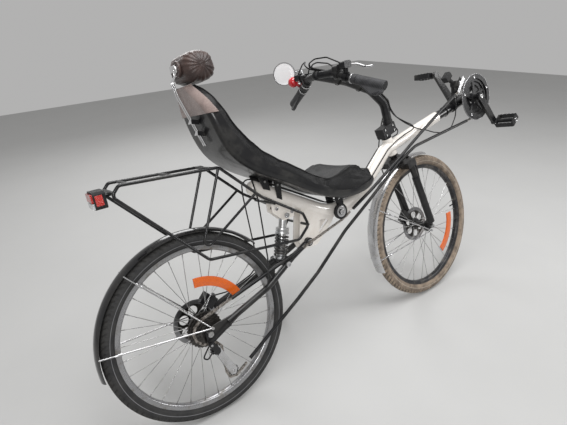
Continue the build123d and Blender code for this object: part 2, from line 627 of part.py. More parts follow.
# Handlebar: stem block on the steerer, the riser, and the two arms drooping to the grips
stem_middle = Plane(origin=on_steerer((stem_bottom + stem_top) / 2, 12), x_dir=steer_forward, z_dir=steer_up)
bar = stem_middle * Box(82, 44, stem_top - stem_bottom)
bar += rod(on_steerer(stem_top - 20, 34), on_steerer(stem_top + 12, 40), 21.0)
riser_run = [tuple(on_steerer(stem_top - 10, 38)), (996.0, 0.0, 585.0), (925.0, 0.0, 652.0),
             (800.0, 0.0, 704.0), (655.0, 0.0, 742.0)]
bar += pipe(riser_run, riser_radius, [60.0, 90.0, 160.0])
arm_points = [(655.0, 0.0, 742.0), (672.0, 70.0, 738.0), (692.0, 130.0, 708.0), (724.0, 260.0, 657.0)]
left_arm = pipe(arm_points, bar_radius, [30.0, 60.0])
bar += Pos(*arm_points[0]) * Sphere(riser_radius) + left_arm
bar += mirrored(left_arm)
bar -= rod(on_steerer(300), on_steerer(stem_top - 4.9), steerer_radius + fit_gap)
nodes["handlebar"] = bar
clamp_line = (Vector(*arm_points[2]) - Vector(*arm_points[1])).normalized()
grip_line = (Vector(*arm_points[3]) - Vector(*arm_points[2])).normalized()
grip_start = Vector(*arm_points[2]) + grip_line * grip_gap
grip_end = Vector(*arm_points[3])
grip_length = (grip_end - grip_start).length


def bar_clamp(share, width):
    """A clamp round the straight part of the left arm between its two bends."""
    middle = between(arm_points[1], arm_points[2], share)
    return rod(middle - clamp_line * width / 2, middle + clamp_line * width / 2, clamp_radius) - left_arm


wing_down = Vector(-0.5, 0, -0.85)
wing_plane = Plane(origin=grip_start, x_dir=grip_line, z_dir=grip_line.cross(wing_down))
wing_outline = [(14.0, 0.0), (18.0, 10.0), (58.0, 28.0), (92.0, 42.0), (112.0, 40.0), (grip_length, 26.0),
                (grip_length, 0.0)]
wing_face = wing_plane * make_face(Polyline(*wing_outline, close=True))
wing = extrude(wing_face, amount=wing_thickness / 2, both=True)
grip = rod(grip_start, grip_end, grip_radius) + wing - left_arm
nodes["left_grip"] = grip
nodes["right_grip"] = mirrored(grip)
lever_clamp_at = between(arm_points[1], arm_points[2], 0.8)
lever = bar_clamp(0.8, 14.0) + rod(lever_clamp_at, (682.0, 130.0, 748.0), 9.0)
lever += Pos(680, 131, 754) * fillet(Box(34, 28, 26).edges().filter_by(Axis.Y), 8.0)
lever += pipe([(690.0, 136.0, 752.0), (722.0, 146.0, 750.0), (738.0, 172.0, 733.0), (722.0, 222.0, 730.0)],
              4.5, [14.0, 20.0])
lever -= left_arm
nodes["brake_levers"] = Compound([lever, mirrored(lever)])
shifter_clamp_at = between(arm_points[1], arm_points[2], 0.3)
pod = bar_clamp(0.3, 12.0) + rod(shifter_clamp_at, (682.0, 94.0, 744.0), 7.0)
pod += Pos(684, 92, 748) * fillet(Box(44, 26, 24).edges().filter_by(Axis.Y), 9.0)
pod -= left_arm
nodes["shifters"] = Compound([pod, mirrored(pod)])
mirror_at = Vector(686.0, 236.0, 784.0)
glass_normal = Vector(-0.76, -0.64, 0.0).normalized()
housing = rod(mirror_at, mirror_at - glass_normal * 10, mirror_radius)
housing -= rod(mirror_at, mirror_at - glass_normal * 3, mirror_radius - 4)
nodes["mirror_glass"] = rod(mirror_at - glass_normal, mirror_at - glass_normal * 2.9, mirror_radius - 4.1)
mirror_clamp_at = tuple(between(arm_points[1], arm_points[2], 0.55))
housing += pipe([tuple(mirror_at - glass_normal * 6), tuple(mirror_at - glass_normal * 16),
                 (731.0, 207.0, 783.0), (700.0, 125.0, 779.0), (680.0, 112.0, 777.0), (686.0, 112.0, 748.0),
                 mirror_clamp_at], 3.5, [7.0, 20.0, 20.0, 8.0, 10.0])
housing += bar_clamp(0.55, 8.0)
nodes["mirror"] = housing - left_arm - pod - lever
bell_at = Vector(676.0, 172.0, 742.0)
bell_foot = Vector(*arm_points[2]) + grip_line * 2
bell = Pos(*bell_at) * Sphere(bell_radius) + rod(bell_foot, bell_at, 6.0)
bell += rod(bell_foot - grip_line * 4, bell_foot + grip_line * 4, clamp_radius - 2)
nodes["bell"] = bell - left_arm - lever - grip

# Cables: from the levers and shifters over the riser's back, and from the head tube onwards
riser_back = [(705.0, 751.5), (806.7, 724.6), (936.9, 670.6), (1016.3, 595.4)]
cable_table = [
    # (first points, y on the riser's back, bends)
    ([(668.0, 124.0, 762.0), (655.0, 70.0, 794.0), (636.0, 27.0, 798.0), (614.0, 10.0, 784.0),
      (634.0, 9.0, 769.0)], 9.0, [30.0, 20.0, 9.0, 16.0]),
    ([(682.0, 82.0, 750.0), (672.0, 54.0, 774.0), (650.0, 20.0, 786.0), (626.0, 4.0, 778.0),
      (644.0, 3.0, 768.0)], 3.0, [20.0, 20.0, 9.0, 16.0]),
]
back_bends = [100.0, 150.0, 100.0]
brake_places = [(560, 66, 26), (510, 46, 48), (450, 16, 62), (395, -12, 70), (350, -24, 69), (305, -24, 68),
                (255, -4, 62), (150, -2, 60), (98, -18, 47)]
brake_bends = [24.0, 30.0, 40.0, 60.0, 60.0, 40.0, 30.0, 60.0, 24.0]
cables = []
for sign in (-1, 1):
    for first_points, y, bends in cable_table:
        run = first_points + side(riser_back, y)
        if sign > 0 and y == cable_table[0][1]:
            run += [tuple(on_steerer(*place)) for place in brake_places]
            bends = bends + back_bends + brake_bends
        else:
            run.append((1020.5, y, 566.0))
            bends = bends + back_bends + [24.0]
        cable = pipe([(point[0], sign * point[1], point[2]) for point in run], cable_radius, bends)
        for name in ("handlebar", "brake_levers", "shifters", "front_brake_caliper"):
            cable -= nodes[name]
        cables.append(cable.solids().sort_by(SortBy.VOLUME)[-1])
nodes["bar_cables"] = Compound(cables)
front_run = [(1150.0, -29.0, 449.0), (1200.0, -29.0, 434.0), (1255.0, -29.0, 412.0), (1335.0, -28.0, 392.0),
             (1385.0, -28.0, 408.0), (1424.0, -28.0, 455.0), (1443.0, -28.5, 530.0), (1443.0, -28.0, 589.0)]
left_run = [(1078.0, 24.0, 441.0), (1010.0, 32.0, 425.0), (950.0, 32.0, 399.0), (800.0, 31.0, 280.0),
            (738.0, 12.0, 260.0), (612.0, 10.0, 259.0), (332.0, 12.0, 426.0), (294.0, 18.0, 438.0),
            (284.0, 44.0, 420.0), (284.0, 54.0, 376.0),
            (286.0, 56.0, 110.0), (250.0, 63.0, 78.0), (150.0, 66.0, 50.0), (84.0, 58.0, 62.0)]
right_run = [(x, -y, z) for x, y, z in left_run[:10]]
right_run += [
    (272.0, -58.0, 160.0), (240.0, -78.0, 72.0), (120.0, -84.0, 28.0), (40.0, -86.0, -8.0),
    (-20.0, -86.0, -34.0), (-44.0, -80.0, -66.0), (-28.0, -72.0, -84.0), (-6.0, -71.0, -66.0)]
shared_bends = [40.0, 60.0, 60.0, 40.0, 100.0, 24.0, 16.0, 20.0, 60.0]
cables = [pipe(front_run, cable_radius, [50.0, 80.0, 60.0, 60.0, 60.0, 60.0]),
          pipe(left_run, cable_radius, shared_bends + [26.0, 30.0, 30.0]),
          pipe(right_run, cable_radius, shared_bends + [40.0, 40.0, 40.0, 40.0, 24.0, 12.0, 9.0])]
frame_cables = []
for cable in cables:
    cable = cable - nodes["front_derailleur"] - nodes["rear_brake_caliper"] - nodes["rear_derailleur"]
    frame_cables.append(cable.solids().sort_by(SortBy.VOLUME)[-1])
nodes["boom_cables"] = Compound(frame_cables)
steered_nodes = ["steerer", "fork_lowers", "front_axle", "front_fender", "front_fender_stays",
                 "front_brake_caliper", "handlebar", "left_grip", "right_grip", "brake_levers", "shifters",
                 "mirror", "mirror_glass", "bar_cables", "bell", "front_tyre", "front_rim", "front_spokes",
                 "front_hub", "front_brake_disc"]

# Crankset: rings on their spider, the spindle with both arms and the pedal axles
spider_y = -(chain_plane + ring_spacing / 2)
guard_y = -chain_plane - 2 * ring_spacing
rings = []
for step, radius, hole in zip((-1, 0, 1), ring_radii, (32.0, 58.0, 74.0)):
    y = -chain_plane - step * ring_spacing
    rings.append(disc(bb_place, y - 1, y + 1, radius) - disc(bb_place, y - 2, y + 2, hole))
rings.append(disc(bb_place, guard_y - 1.5, guard_y + 1.5, guard_radius)
             - disc(bb_place, guard_y - 3, guard_y + 3, 86.0))
spider = disc(bb_place, spider_y - 2, spider_y + 2, 24.0)
for index in range(5):
    angle = 2 * math.pi * (index + 0.3) / 5
    out, across = (math.cos(angle), math.sin(angle)), (math.sin(angle), -math.cos(angle))
    arm_outline = [(bb_x + reach * out[0] + half * across[0], bb_z + reach * out[1] + half * across[1])
                   for reach, half in ((0, 12), (79, 5), (79, -5), (0, -12))]
    spider += side_plate(arm_outline, spider_y, 4.0)
    for reach, low, high in ((91.0, guard_y, -chain_plane - ring_spacing),
                             (44.0, spider_y, -chain_plane + ring_spacing)):
        post = (bb_x + reach * out[0], bb_z + reach * out[1])
        spider += disc(post, low, high, 4.5)
chainrings = fused(rings[:3] + [spider, rings[3]])
nodes["chainrings"] = chainrings - disc(bb_place, -90, 90, spindle_radius + fit_gap + 4)
turn = math.radians(crank_angle)
cranks = disc(bb_place, -crank_inner - 8, crank_inner + 8, spindle_radius)
cranks += disc(bb_place, spider_y - 20, spider_y + 3, spindle_radius + 4)
pedal_places = {}
for name, sign, tilt in (("right_pedal", -1, -40.0), ("left_pedal", 1, 8.0)):
    c, d = -sign * math.cos(turn), -sign * math.sin(turn)
    eye = (bb_x + crank_length * c, bb_z + crank_length * d)
    low, high = sorted((sign * crank_inner, sign * (crank_inner + crank_thickness)))
    cranks += disc(bb_place, low, high, 20.0) + disc(eye, low, high, 15.0)
    web = [(bb_x - 18 * d, bb_z + 18 * c), (bb_x + 18 * d, bb_z - 18 * c),
           (eye[0] + 13 * d, eye[1] - 13 * c), (eye[0] - 13 * d, eye[1] + 13 * c)]
    cranks += side_plate(web, (low + high) / 2, crank_thickness - 2)
    start = sign * (crank_inner + crank_thickness)
    low, high = sorted((start - sign, start + sign * (pedal_length + 10)))
    cranks += disc(eye, low, high, pedal_axle_radius)
    pedal_places[name] = eye
    middle = start + sign * (7 + pedal_length / 2)
    pedal = Box(pedal_width, pedal_length, pedal_height)
    pedal = fillet(pedal.edges().filter_by(Axis.Z), 8.0)
    pedal -= Box(pedal_width - 12, pedal_length - 16, pedal_height + 2)
    pedal = Pos(eye[0], middle, eye[1]) * Rot(0, tilt, 0) * pedal
    pedal += disc(eye, middle - pedal_length / 2 + 1, middle + pedal_length / 2 - 1, 9.5)
    nodes[name] = pedal - disc(eye, -250, 250, pedal_axle_radius + fit_gap)
nodes["crank_arms"] = cranks

# Side stand on its bracket, under the left arm of the swingarm
hinge = Vector(*stand_pivot)
foot = upright_point(stand_foot_x, stand_foot_y, 10.0)
leg_line = (foot - hinge).normalized()
folded_line = Vector(-0.985, 0.10, -0.14).normalized()
stand_axis = leg_line.cross(folded_line).normalized()
stand_fold = math.degrees(math.acos(leg_line.dot(folded_line)))
bracket = rod(hinge - stand_axis * 21, hinge + stand_axis * 14, stand_pin_radius)
bracket += rod(hinge - stand_axis * 21, hinge - stand_axis * 12.3, 12.0)
bracket += rod(hinge + stand_axis * 9.3, hinge + stand_axis * 15, 9.0)
bracket += rod(between(arm_elbow, arm_middle, 0.32), hinge - stand_axis * 17, 9.0)
bracket += rod(between(arm_elbow, arm_middle, 0.18), between(arm_elbow, arm_middle, 0.46), arm_radius + 5)
bracket -= ring(hinge - stand_axis * 12.3, hinge + stand_axis * 9.3, 16.0, stand_pin_radius)
bracket -= rod(shock_low, shock_high, 28.0)
nodes["stand_bracket"] = bracket - nodes["swingarm"]
stand = rod(hinge - stand_axis * 12, hinge + stand_axis * 9, 12.0) + rod(hinge, foot, stand_leg_radius)
stand += Pos(*foot) * Sphere(10)
stand -= rod(hinge - stand_axis * 30, hinge + stand_axis * 30, stand_pin_radius + fit_gap)
nodes["side_stand"] = stand

for name in steered_nodes:
    nodes[name] = nodes[name].rotate(steering_axis, parked_steer)

# Park it: lean it onto its stand, and move the origin under the middle of its box
parked = Pos(0, axle_shift, axle_height) * Rot(-parked_lean, 0, 0)
for name in nodes:
    nodes[name] = parked * nodes[name]
box = Compound(list(nodes.values())).bounding_box()
home = Pos(-(box.min.X + box.max.X) / 2, -(box.min.Y + box.max.Y) / 2, 0)
to_home = home * parked


def final_point(point):
    """A point of the upright bicycle in the parked one's frame."""
    return (to_home * Pos(*point)).position


def final_direction(direction):
    return (final_point(direction) - final_point((0, 0, 0))).normalized()


os.makedirs("parts", exist_ok=True)
for name, shape in nodes.items():
    export_step(home * shape, "parts/" + name + ".step")
    print(name, len(shape.solids()), round(shape.volume), shape.is_valid)
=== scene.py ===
import json
import math

import bpy
from mathutils import Matrix, Vector, noise
from mathutils.bvhtree import BVHTree


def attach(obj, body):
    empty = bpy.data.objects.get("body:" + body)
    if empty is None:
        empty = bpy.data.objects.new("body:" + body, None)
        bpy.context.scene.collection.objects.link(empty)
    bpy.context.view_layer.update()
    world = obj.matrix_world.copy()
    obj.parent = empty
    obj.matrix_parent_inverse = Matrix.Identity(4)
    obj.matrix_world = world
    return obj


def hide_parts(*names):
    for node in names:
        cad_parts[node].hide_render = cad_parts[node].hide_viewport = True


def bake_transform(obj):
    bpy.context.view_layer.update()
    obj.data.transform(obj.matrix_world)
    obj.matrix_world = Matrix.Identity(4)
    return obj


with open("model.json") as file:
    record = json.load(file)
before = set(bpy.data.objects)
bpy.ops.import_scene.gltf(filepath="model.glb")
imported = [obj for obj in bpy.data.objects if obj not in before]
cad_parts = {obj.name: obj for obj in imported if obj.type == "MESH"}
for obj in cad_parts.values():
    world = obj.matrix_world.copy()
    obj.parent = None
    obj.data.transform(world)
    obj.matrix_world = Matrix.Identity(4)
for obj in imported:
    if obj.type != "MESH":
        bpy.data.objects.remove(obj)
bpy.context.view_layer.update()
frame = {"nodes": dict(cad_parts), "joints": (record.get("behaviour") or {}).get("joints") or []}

nodes = frame["nodes"]
joints = {joint["name"]: joint for joint in frame["joints"]}
print("stage: frame loaded,", len(nodes), "nodes")

# The bicycle is drawn upright from the middle of its rear axle (X forward, Y left) and leans on its
# stand. These matrices take a point of the upright drawing to its place in the row.
parking = {"lean": 13.0, "steer": 2.3, "headAngle": 73.0, "wheelbase": 1.139, "forkOffset": 0.020}
headTurn = math.radians(parking["headAngle"])
steerUp = Vector((-math.cos(headTurn), 0, math.sin(headTurn)))
steerForward = Vector((math.sin(headTurn), 0, math.cos(headTurn)))
steerFoot = Vector((parking["wheelbase"], 0, 0)) - steerForward * parking["forkOffset"]
rearAxle = Vector(joints["rear_wheel_spin"]["pos_m"])
leanPlace = Matrix.Translation(rearAxle) @ Matrix.Rotation(-math.radians(parking["lean"]), 4, "X")
steerPlace = (leanPlace @ Matrix.Translation(steerFoot)
              @ Matrix.Rotation(math.radians(parking["steer"]), 4, steerUp) @ Matrix.Translation(-steerFoot))
frontWheelPlace = steerPlace @ Matrix.Translation((parking["wheelbase"], 0, 0))


def onSteerer(height, forward=0.0, left=0.0):
    return steerFoot + steerUp * height + steerForward * forward + Vector((0, left, 0))


# Camera, solved from the photograph in the upright drawing: a turn, then a shift
cameraView = {"lens": 27.44, "sensor": 36.0, "turn": (1.70234509, -0.65798879, 0.24641050),
              "shift": (-0.2783086, 0.3864987, 1.4654402)}
turn = Vector(cameraView["turn"])
seen = Matrix.Rotation(turn.length, 4, turn.normalized())
eye = -(seen.inverted() @ Vector(cameraView["shift"]))
look = Matrix.Translation(eye) @ seen.inverted() @ Matrix.Diagonal((1, -1, -1, 1))
camera = bpy.data.objects.new("camera", bpy.data.cameras.new("camera"))
camera.data.lens = cameraView["lens"]
camera.data.sensor_width = cameraView["sensor"]
camera.matrix_world = leanPlace @ look
bpy.context.collection.objects.link(camera)
bpy.context.scene.camera = camera
bpy.context.scene.view_settings.view_transform = "Standard"  # keeps the blacks deep and the orange true


class Wire:
    # one socket of a material's nodes, which can be added, multiplied and so on
    def __init__(self, tree, socket=None):
        self.tree = tree
        self.socket = socket

    def node(self, kind, settings, sockets, output=0):
        made = self.tree.nodes.new("ShaderNode" + kind)
        for name, value in settings.items():
            if name == "stops":
                while len(made.color_ramp.elements) < len(value):
                    made.color_ramp.elements.new(0.5)
                for element, (place, colour) in zip(made.color_ramp.elements, value):
                    element.position = place
                    element.color = (*colour, 1.0)
            else:
                setattr(made, name, value)
        for name, value in sockets.items():
            if isinstance(value, Wire):
                self.tree.links.new(value.socket, made.inputs[name])
            else:
                made.inputs[name].default_value = value
        return Wire(self.tree, made.outputs[output])

    def maths(self, operation, *values):
        return self.node("Math", {"operation": operation}, dict(enumerate(values)))

    def __add__(self, other):
        return self.maths("ADD", self, other)

    __radd__ = __add__

    def __sub__(self, other):
        return self.maths("SUBTRACT", self, other)

    def __rsub__(self, other):
        return self.maths("SUBTRACT", other, self)

    def __mul__(self, other):
        return self.maths("MULTIPLY", self, other)

    __rmul__ = __mul__

    def sine(self):
        return self.maths("SINE", self)

    def size(self):
        return self.maths("ABSOLUTE", self)

    def between(self, low, high):
        # 0 below low, 1 above high, smooth between them
        return self.node("MapRange", {"interpolation_type": "SMOOTHSTEP", "clamp": True},
                         {"Value": self, "From Min": low, "From Max": high})

    def near(self, middle, width):
        return 1 - (self - middle).size().between(0.0, width)

    def blendOf(self, first, second):
        # first where this is 0, second where it is 1
        first = (*first, 1.0) if isinstance(first, tuple) else first
        second = (*second, 1.0) if isinstance(second, tuple) else second
        return self.node("Mix", {"data_type": "RGBA"}, {0: self, 6: first, 7: second}, 2)

    def placed(self, place=None, scale=(1.0, 1.0, 1.0)):
        # object coordinates, or those of the drawing that place took to the row
        spots = self.node("TexCoord", {}, {}, "Object")
        if place is not None:
            back = place.inverted()
            spots = self.node("Mapping", {"vector_type": "POINT"},
                              {"Vector": spots, "Location": back.translation, "Rotation": back.to_euler()})
        if scale != (1.0, 1.0, 1.0):
            spots = self.node("Mapping", {"vector_type": "POINT"}, {"Vector": spots, "Scale": scale})
        return spots

    def cloudy(self, spots, scale, detail=3.0, rough=0.55):
        return self.node("TexNoise", {}, {"Vector": spots, "Scale": scale, "Detail": detail, "Roughness": rough})

    def cells(self, spots, scale, feature="F1"):
        return self.node("TexVoronoi", {"feature": feature}, {"Vector": spots, "Scale": scale}, "Distance")

    def axes(self, spots):
        return [self.node("SeparateXYZ", {}, {"Vector": spots}, name) for name in ("X", "Y", "Z")]

    def raised(self, height, depth, strength=1.0, under=None):
        sockets = {"Height": height, "Distance": depth, "Strength": strength}
        if under is not None:
            sockets["Normal"] = under
        return self.node("Bump", {}, sockets)


def finish(name, fixed, pattern):
    made = bpy.data.materials.new(name)
    made.use_nodes = True
    shader = made.node_tree.nodes["Principled BSDF"]
    for socket, value in fixed.items():
        shader.inputs[socket].default_value = value
    for socket, wire in pattern(Wire(made.node_tree)).items():
        made.node_tree.links.new(wire.socket, shader.inputs[socket])
    return made


def paintFinish(name, clean, dirty, dirt=0.5, shine=0.25, coat=0.6, place=leanPlace, flakeGlints=0.0):
    # sprayed paint: orange peel, dull dusty patches and small scuffs; pearl flakes are painted in as bright spots,
    # painted glints
    def pattern(w):
        spots = w.placed(place)
        dust = w.cloudy(spots, 9.0, 6.0, 0.65).between(0.46, 0.72) * dirt
        specks = w.cells(spots, 120.0).between(0.25, 0.10) * w.cloudy(spots, 25.0).between(0.5, 0.65) * dirt
        scuffs = w.cloudy(w.placed(place, (6.0, 60.0, 60.0)), 4.0, 5.0, 0.7).between(0.62, 0.70) * 0.5 * dirt
        marks = w.maths("MAXIMUM", w.maths("MAXIMUM", dust, specks), scuffs)
        peel = w.cloudy(spots, 260.0, 2.0)
        colour = marks.blendOf(clean, dirty)
        if flakeGlints:
            # painted glints: small bluish-white spots set into the colour for the pearl's sparkle
            glints = w.cells(spots, 1400.0).between(0.5, 0.2) * flakeGlints
            colour = glints.blendOf(colour, (0.95, 0.96, 1.0))
        return {"Base Color": colour, "Roughness": marks * 0.35 + peel * 0.06 + shine,
                "Coat Weight": (1 - marks) * coat, "Normal": w.raised(peel, 0.0003, 0.35)}
    fixed = {"Coat Roughness": 0.08}
    if max(clean) < 0.02:
        fixed["Specular IOR Level"] = 0.3
    return finish(name, fixed, pattern)


def metalFinish(name, bright, dull, shine=0.25, along=(1.0, 12.0, 12.0), place=leanPlace, wear=0.5, metallic=1.0):
    # turned or brushed metal: fine lines along one way, with dull and oily patches
    def pattern(w):
        lines = w.cloudy(w.placed(place, along), 160.0, 3.0, 0.7)
        patches = w.cloudy(w.placed(place), 22.0, 5.0, 0.62).between(0.42, 0.68) * wear
        return {"Base Color": patches.blendOf(bright, dull), "Metallic": metallic - patches * 0.15,
                "Roughness": lines * 0.14 + patches * 0.22 + (shine - 0.05),
                "Normal": w.raised(lines, 0.0002, 0.4)}
    return finish(name, {}, pattern)


def plasticFinish(name, clean, dirty, shine=0.5, grain=0.5, place=leanPlace, coat=0.0):
    # moulded plastic: fine pebbled skin, greyed where it is handled
    def pattern(w):
        spots = w.placed(place)
        pebbles = w.cells(spots, 900.0)
        greyed = w.cloudy(spots, 14.0, 6.0, 0.6).between(0.45, 0.75)
        return {"Base Color": greyed.blendOf(clean, dirty), "Roughness": greyed * 0.18 + pebbles * 0.10 + shine,
                "Normal": w.raised(pebbles, 0.0004, grain)}
    return finish(name, {"Coat Weight": coat, "Coat Roughness": 0.12, "Specular IOR Level": 0.25}, pattern)


def rubberRibs(w):
    # ring ribs and a diamond grip along the handles
    along, across, up = w.axes(w.placed(steerPlace))
    rings = (along * 0.18 - across.size() * 0.73 + up * 0.66) * 1250.0
    ribs = rings.sine().between(-0.2, 0.6)
    fine = w.cells(w.placed(steerPlace), 700.0)
    worn = w.cloudy(w.placed(steerPlace), 30.0, 5.0).between(0.4, 0.7)
    return {"Base Color": (ribs * 0.5 + worn * 0.4).blendOf((0.018, 0.018, 0.02), (0.07, 0.07, 0.075)),
            "Roughness": worn * 0.2 + 0.55, "Normal": w.raised(ribs + fine * 0.2, 0.0008, 0.8)}


def seatCover(w):
    # black coated cloth: fine leather grain, faint rubbed patches where a rider sits
    spots = w.placed(leanPlace)
    grain = w.cells(spots, 620.0)
    creases = w.cells(w.placed(leanPlace, (1.0, 0.6, 1.0)), 46.0, "DISTANCE_TO_EDGE").between(0.10, 0.0)
    rubbed = w.cloudy(spots, 7.0, 6.0, 0.6).between(0.42, 0.72)
    dust = w.cloudy(spots, 60.0, 6.0, 0.7).between(0.56, 0.72)
    return {"Base Color": (rubbed * 0.55 + dust * 0.35).blendOf((0.0045, 0.0045, 0.005), (0.018, 0.018, 0.019)),
            "Roughness": rubbed * 0.16 + dust * 0.12 + 0.42,
            "Normal": w.raised(grain, 0.0005, 0.55, w.raised(creases, 0.0006, 0.25))}


def cushionTop(w):
    # the breathable top panel: woven mesh with darker pores
    along, across, up = w.axes(w.placed(leanPlace))
    run = (along - up * 0.75) * 2400.0
    weave = run.sine() * (across * 2600.0).sine()
    pores = weave.between(0.1, 0.8)
    worn = w.cloudy(w.placed(leanPlace), 9.0, 6.0, 0.62).between(0.42, 0.72)
    return {"Base Color": (worn * 0.6 + pores * 0.25).blendOf((0.0045, 0.0045, 0.005), (0.018, 0.018, 0.019)),
            "Roughness": worn * 0.15 + 0.62, "Normal": w.raised(pores, 0.0005, 0.5)}


def capCloth(w):
    # taupe cloth: plain weave, soft slubs, a paler sun-bleached top
    spots = w.placed(leanPlace)
    along, across, up = w.axes(spots)
    weft = ((up + along * 0.4) * 3000.0).sine()
    warp = (across * 3000.0).sine()
    weave = (weft * warp).between(-0.6, 0.8)
    slubs = w.cloudy(w.placed(leanPlace, (1.0, 1.0, 9.0)), 70.0, 4.0)
    faded = w.cloudy(spots, 16.0, 5.0, 0.6).between(0.35, 0.7)
    tone = faded * 0.55 + slubs * 0.25 + weave * 0.2
    return {"Base Color": tone.blendOf((0.135, 0.095, 0.085), (0.34, 0.26, 0.235)),
            "Roughness": slubs * 0.1 + 0.78, "Normal": w.raised(weave + slubs, 0.0005, 0.6)}


def brownLeather(w):
    # dark brown leather, gathered into long soft folds whose crests are painted lighter: partly rubbed wear,
    # partly painted highlight
    spots = w.placed(leanPlace)
    grain = w.cells(spots, 480.0)
    folds = w.cloudy(w.placed(leanPlace, (1.0, 0.30, 1.0)), 42.0, 5.0, 0.6)
    # lighter fold crests: rubbed wear and a painted highlight where the folds rise
    rubbed = folds.between(0.5, 0.75)
    blotch = w.cloudy(spots, 18.0, 5.0).between(0.35, 0.7)
    return {"Base Color": (rubbed * 0.5 + blotch * 0.5).blendOf((0.026, 0.014, 0.012), (0.098, 0.058, 0.048)),
            "Roughness": rubbed * 0.2 + grain * 0.12 + 0.32,
            "Normal": w.raised(grain, 0.0005, 0.5, w.raised(folds, 0.003, 0.5))}


def tyreFinish(name, place, clean, dusty, lineColour, lineWidth, rows):
    # rubber: small sipes across the tread painted near black as painted shade, moulded ribs on the wall, a thin
    # reflective line
    def pattern(w):
        x, y, z = w.axes(w.placed(place))
        around = w.maths("ARCTAN2", z, x)
        reach = w.maths("SQRT", x * x + z * z)
        onTread = reach.between(0.312, 0.316)
        chevrons = (around * rows + y.size() * 330.0).sine().between(0.45, 0.75)
        grooves = (y.size() * 620.0).sine().between(0.80, 0.95)
        cuts = w.maths("MAXIMUM", chevrons, grooves) * onTread
        ribs = (around * 150.0).sine().between(0.3, 0.9) * reach.between(0.300, 0.304) * (1 - onTread)
        dust = w.cloudy(w.placed(place), 30.0, 6.0, 0.7)
        soil = (dust.between(0.35, 0.65) * 0.6 + onTread * 0.4)
        line = reach.near(0.2985, lineWidth)
        colour = soil.blendOf(clean, dusty)
        # painted shade: the sipes darkened to near black, as if shade falls in them
        colour = (cuts * 0.7).blendOf(colour, (0.012, 0.011, 0.010))
        return {"Base Color": line.blendOf(colour, lineColour), "Roughness": soil * 0.2 + 0.68 - line * 0.25,
                "Normal": w.raised(1 - cuts + ribs * 0.4 + dust * 0.1, 0.0014, 0.9)}
    return finish(name, {}, pattern)


def rimFinish(name, place, bright, dull, metallic):
    # drawn rim: lines round the wheel, brake dust and a darker joint
    def pattern(w):
        x, y, z = w.axes(w.placed(place))
        reach = w.maths("SQRT", x * x + z * z)
        lines = w.node("TexNoise", {"noise_dimensions": "1D"}, {"W": reach * 900.0 + y * 350.0, "Detail": 3.0})
        dust = w.cloudy(w.placed(place), 26.0, 6.0, 0.7).between(0.45, 0.7)
        return {"Base Color": dust.blendOf(bright, dull), "Metallic": metallic - dust * 0.2,
                "Roughness": lines * 0.15 + dust * 0.25 + 0.2, "Normal": w.raised(lines, 0.0002, 0.4)}
    return finish(name, {}, pattern)


def discFinish(name, place):
    # braking band rubbed bright by the pads, heat-tinted towards the middle
    def pattern(w):
        x, y, z = w.axes(w.placed(place))
        reach = w.maths("SQRT", x * x + z * z)
        lines = w.node("TexNoise", {"noise_dimensions": "1D"}, {"W": reach * 1500.0, "Detail": 4.0})
        rubbed = reach.between(0.062, 0.066)
        tint = rubbed.blendOf((0.05, 0.048, 0.045), (0.30, 0.30, 0.31))
        return {"Base Color": (lines * 0.3).blendOf(tint, (0.12, 0.115, 0.11)), "Roughness": lines * 0.2 + 0.2,
                "Normal": w.raised(lines, 0.0002, 0.6)}
    return finish(name, {"Metallic": 1.0}, pattern)


def lampRed(w):
    spots = w.placed(leanPlace)
    along, across, up = w.axes(spots)
    ribs = (up * 1500.0).sine().between(-0.3, 0.7)
    scale = w.cells(spots, 320.0)
    return {"Base Color": (ribs * 0.4 + scale * 0.3).blendOf((0.30, 0.010, 0.008), (0.70, 0.05, 0.035)),
            "Roughness": scale * 0.15 + 0.10, "Normal": w.raised(ribs + scale * 0.4, 0.0010, 0.6)}


def lampClear(w):
    spots = w.placed(leanPlace)
    facets = w.cells(spots, 260.0)
    haze = w.cloudy(spots, 60.0, 4.0)
    return {"Base Color": facets.blendOf((0.82, 0.83, 0.84), (0.40, 0.41, 0.43)),
            "Roughness": haze * 0.2 + 0.06, "Normal": w.raised(facets, 0.0010, 0.7)}


def reflectorOrange(w):
    spots = w.placed(leanPlace)
    cells = w.cells(spots, 420.0)
    return {"Base Color": cells.blendOf((0.80, 0.155, 0.006), (0.42, 0.055, 0.003)),
            "Roughness": cells * 0.2 + 0.12, "Normal": w.raised(cells, 0.0008, 0.7)}


def mirrorGlass(w):
    smears = w.cloudy(w.placed(steerPlace), 34.0, 6.0, 0.7).between(0.5, 0.8)
    return {"Base Color": smears.blendOf((0.97, 0.97, 0.98), (0.84, 0.85, 0.86)),
            "Roughness": smears * 0.12 + 0.03}


def chainFinish(name, place):
    def pattern(w):
        spots = w.placed(place)
        oil = w.cloudy(spots, 130.0, 5.0, 0.7).between(0.4, 0.65)
        fine = w.cloudy(spots, 600.0, 3.0)
        return {"Base Color": oil.blendOf((0.42, 0.39, 0.36), (0.055, 0.045, 0.035)),
                "Metallic": 0.95 - oil * 0.3, "Roughness": oil * 0.25 + fine * 0.1 + 0.22,
                "Normal": w.raised(fine, 0.0003, 0.5)}
    return finish(name, {}, pattern)


def springCoil(w):
    spots = w.placed(leanPlace)
    along, across, up = w.axes(spots)
    oil = w.cloudy(spots, 60.0, 5.0).between(0.4, 0.7)
    return {"Base Color": oil.blendOf((0.016, 0.016, 0.018), (0.06, 0.055, 0.05)), "Roughness": oil * 0.25 + 0.22,
            "Normal": w.raised(w.cloudy(spots, 300.0, 2.0), 0.0002, 0.4)}


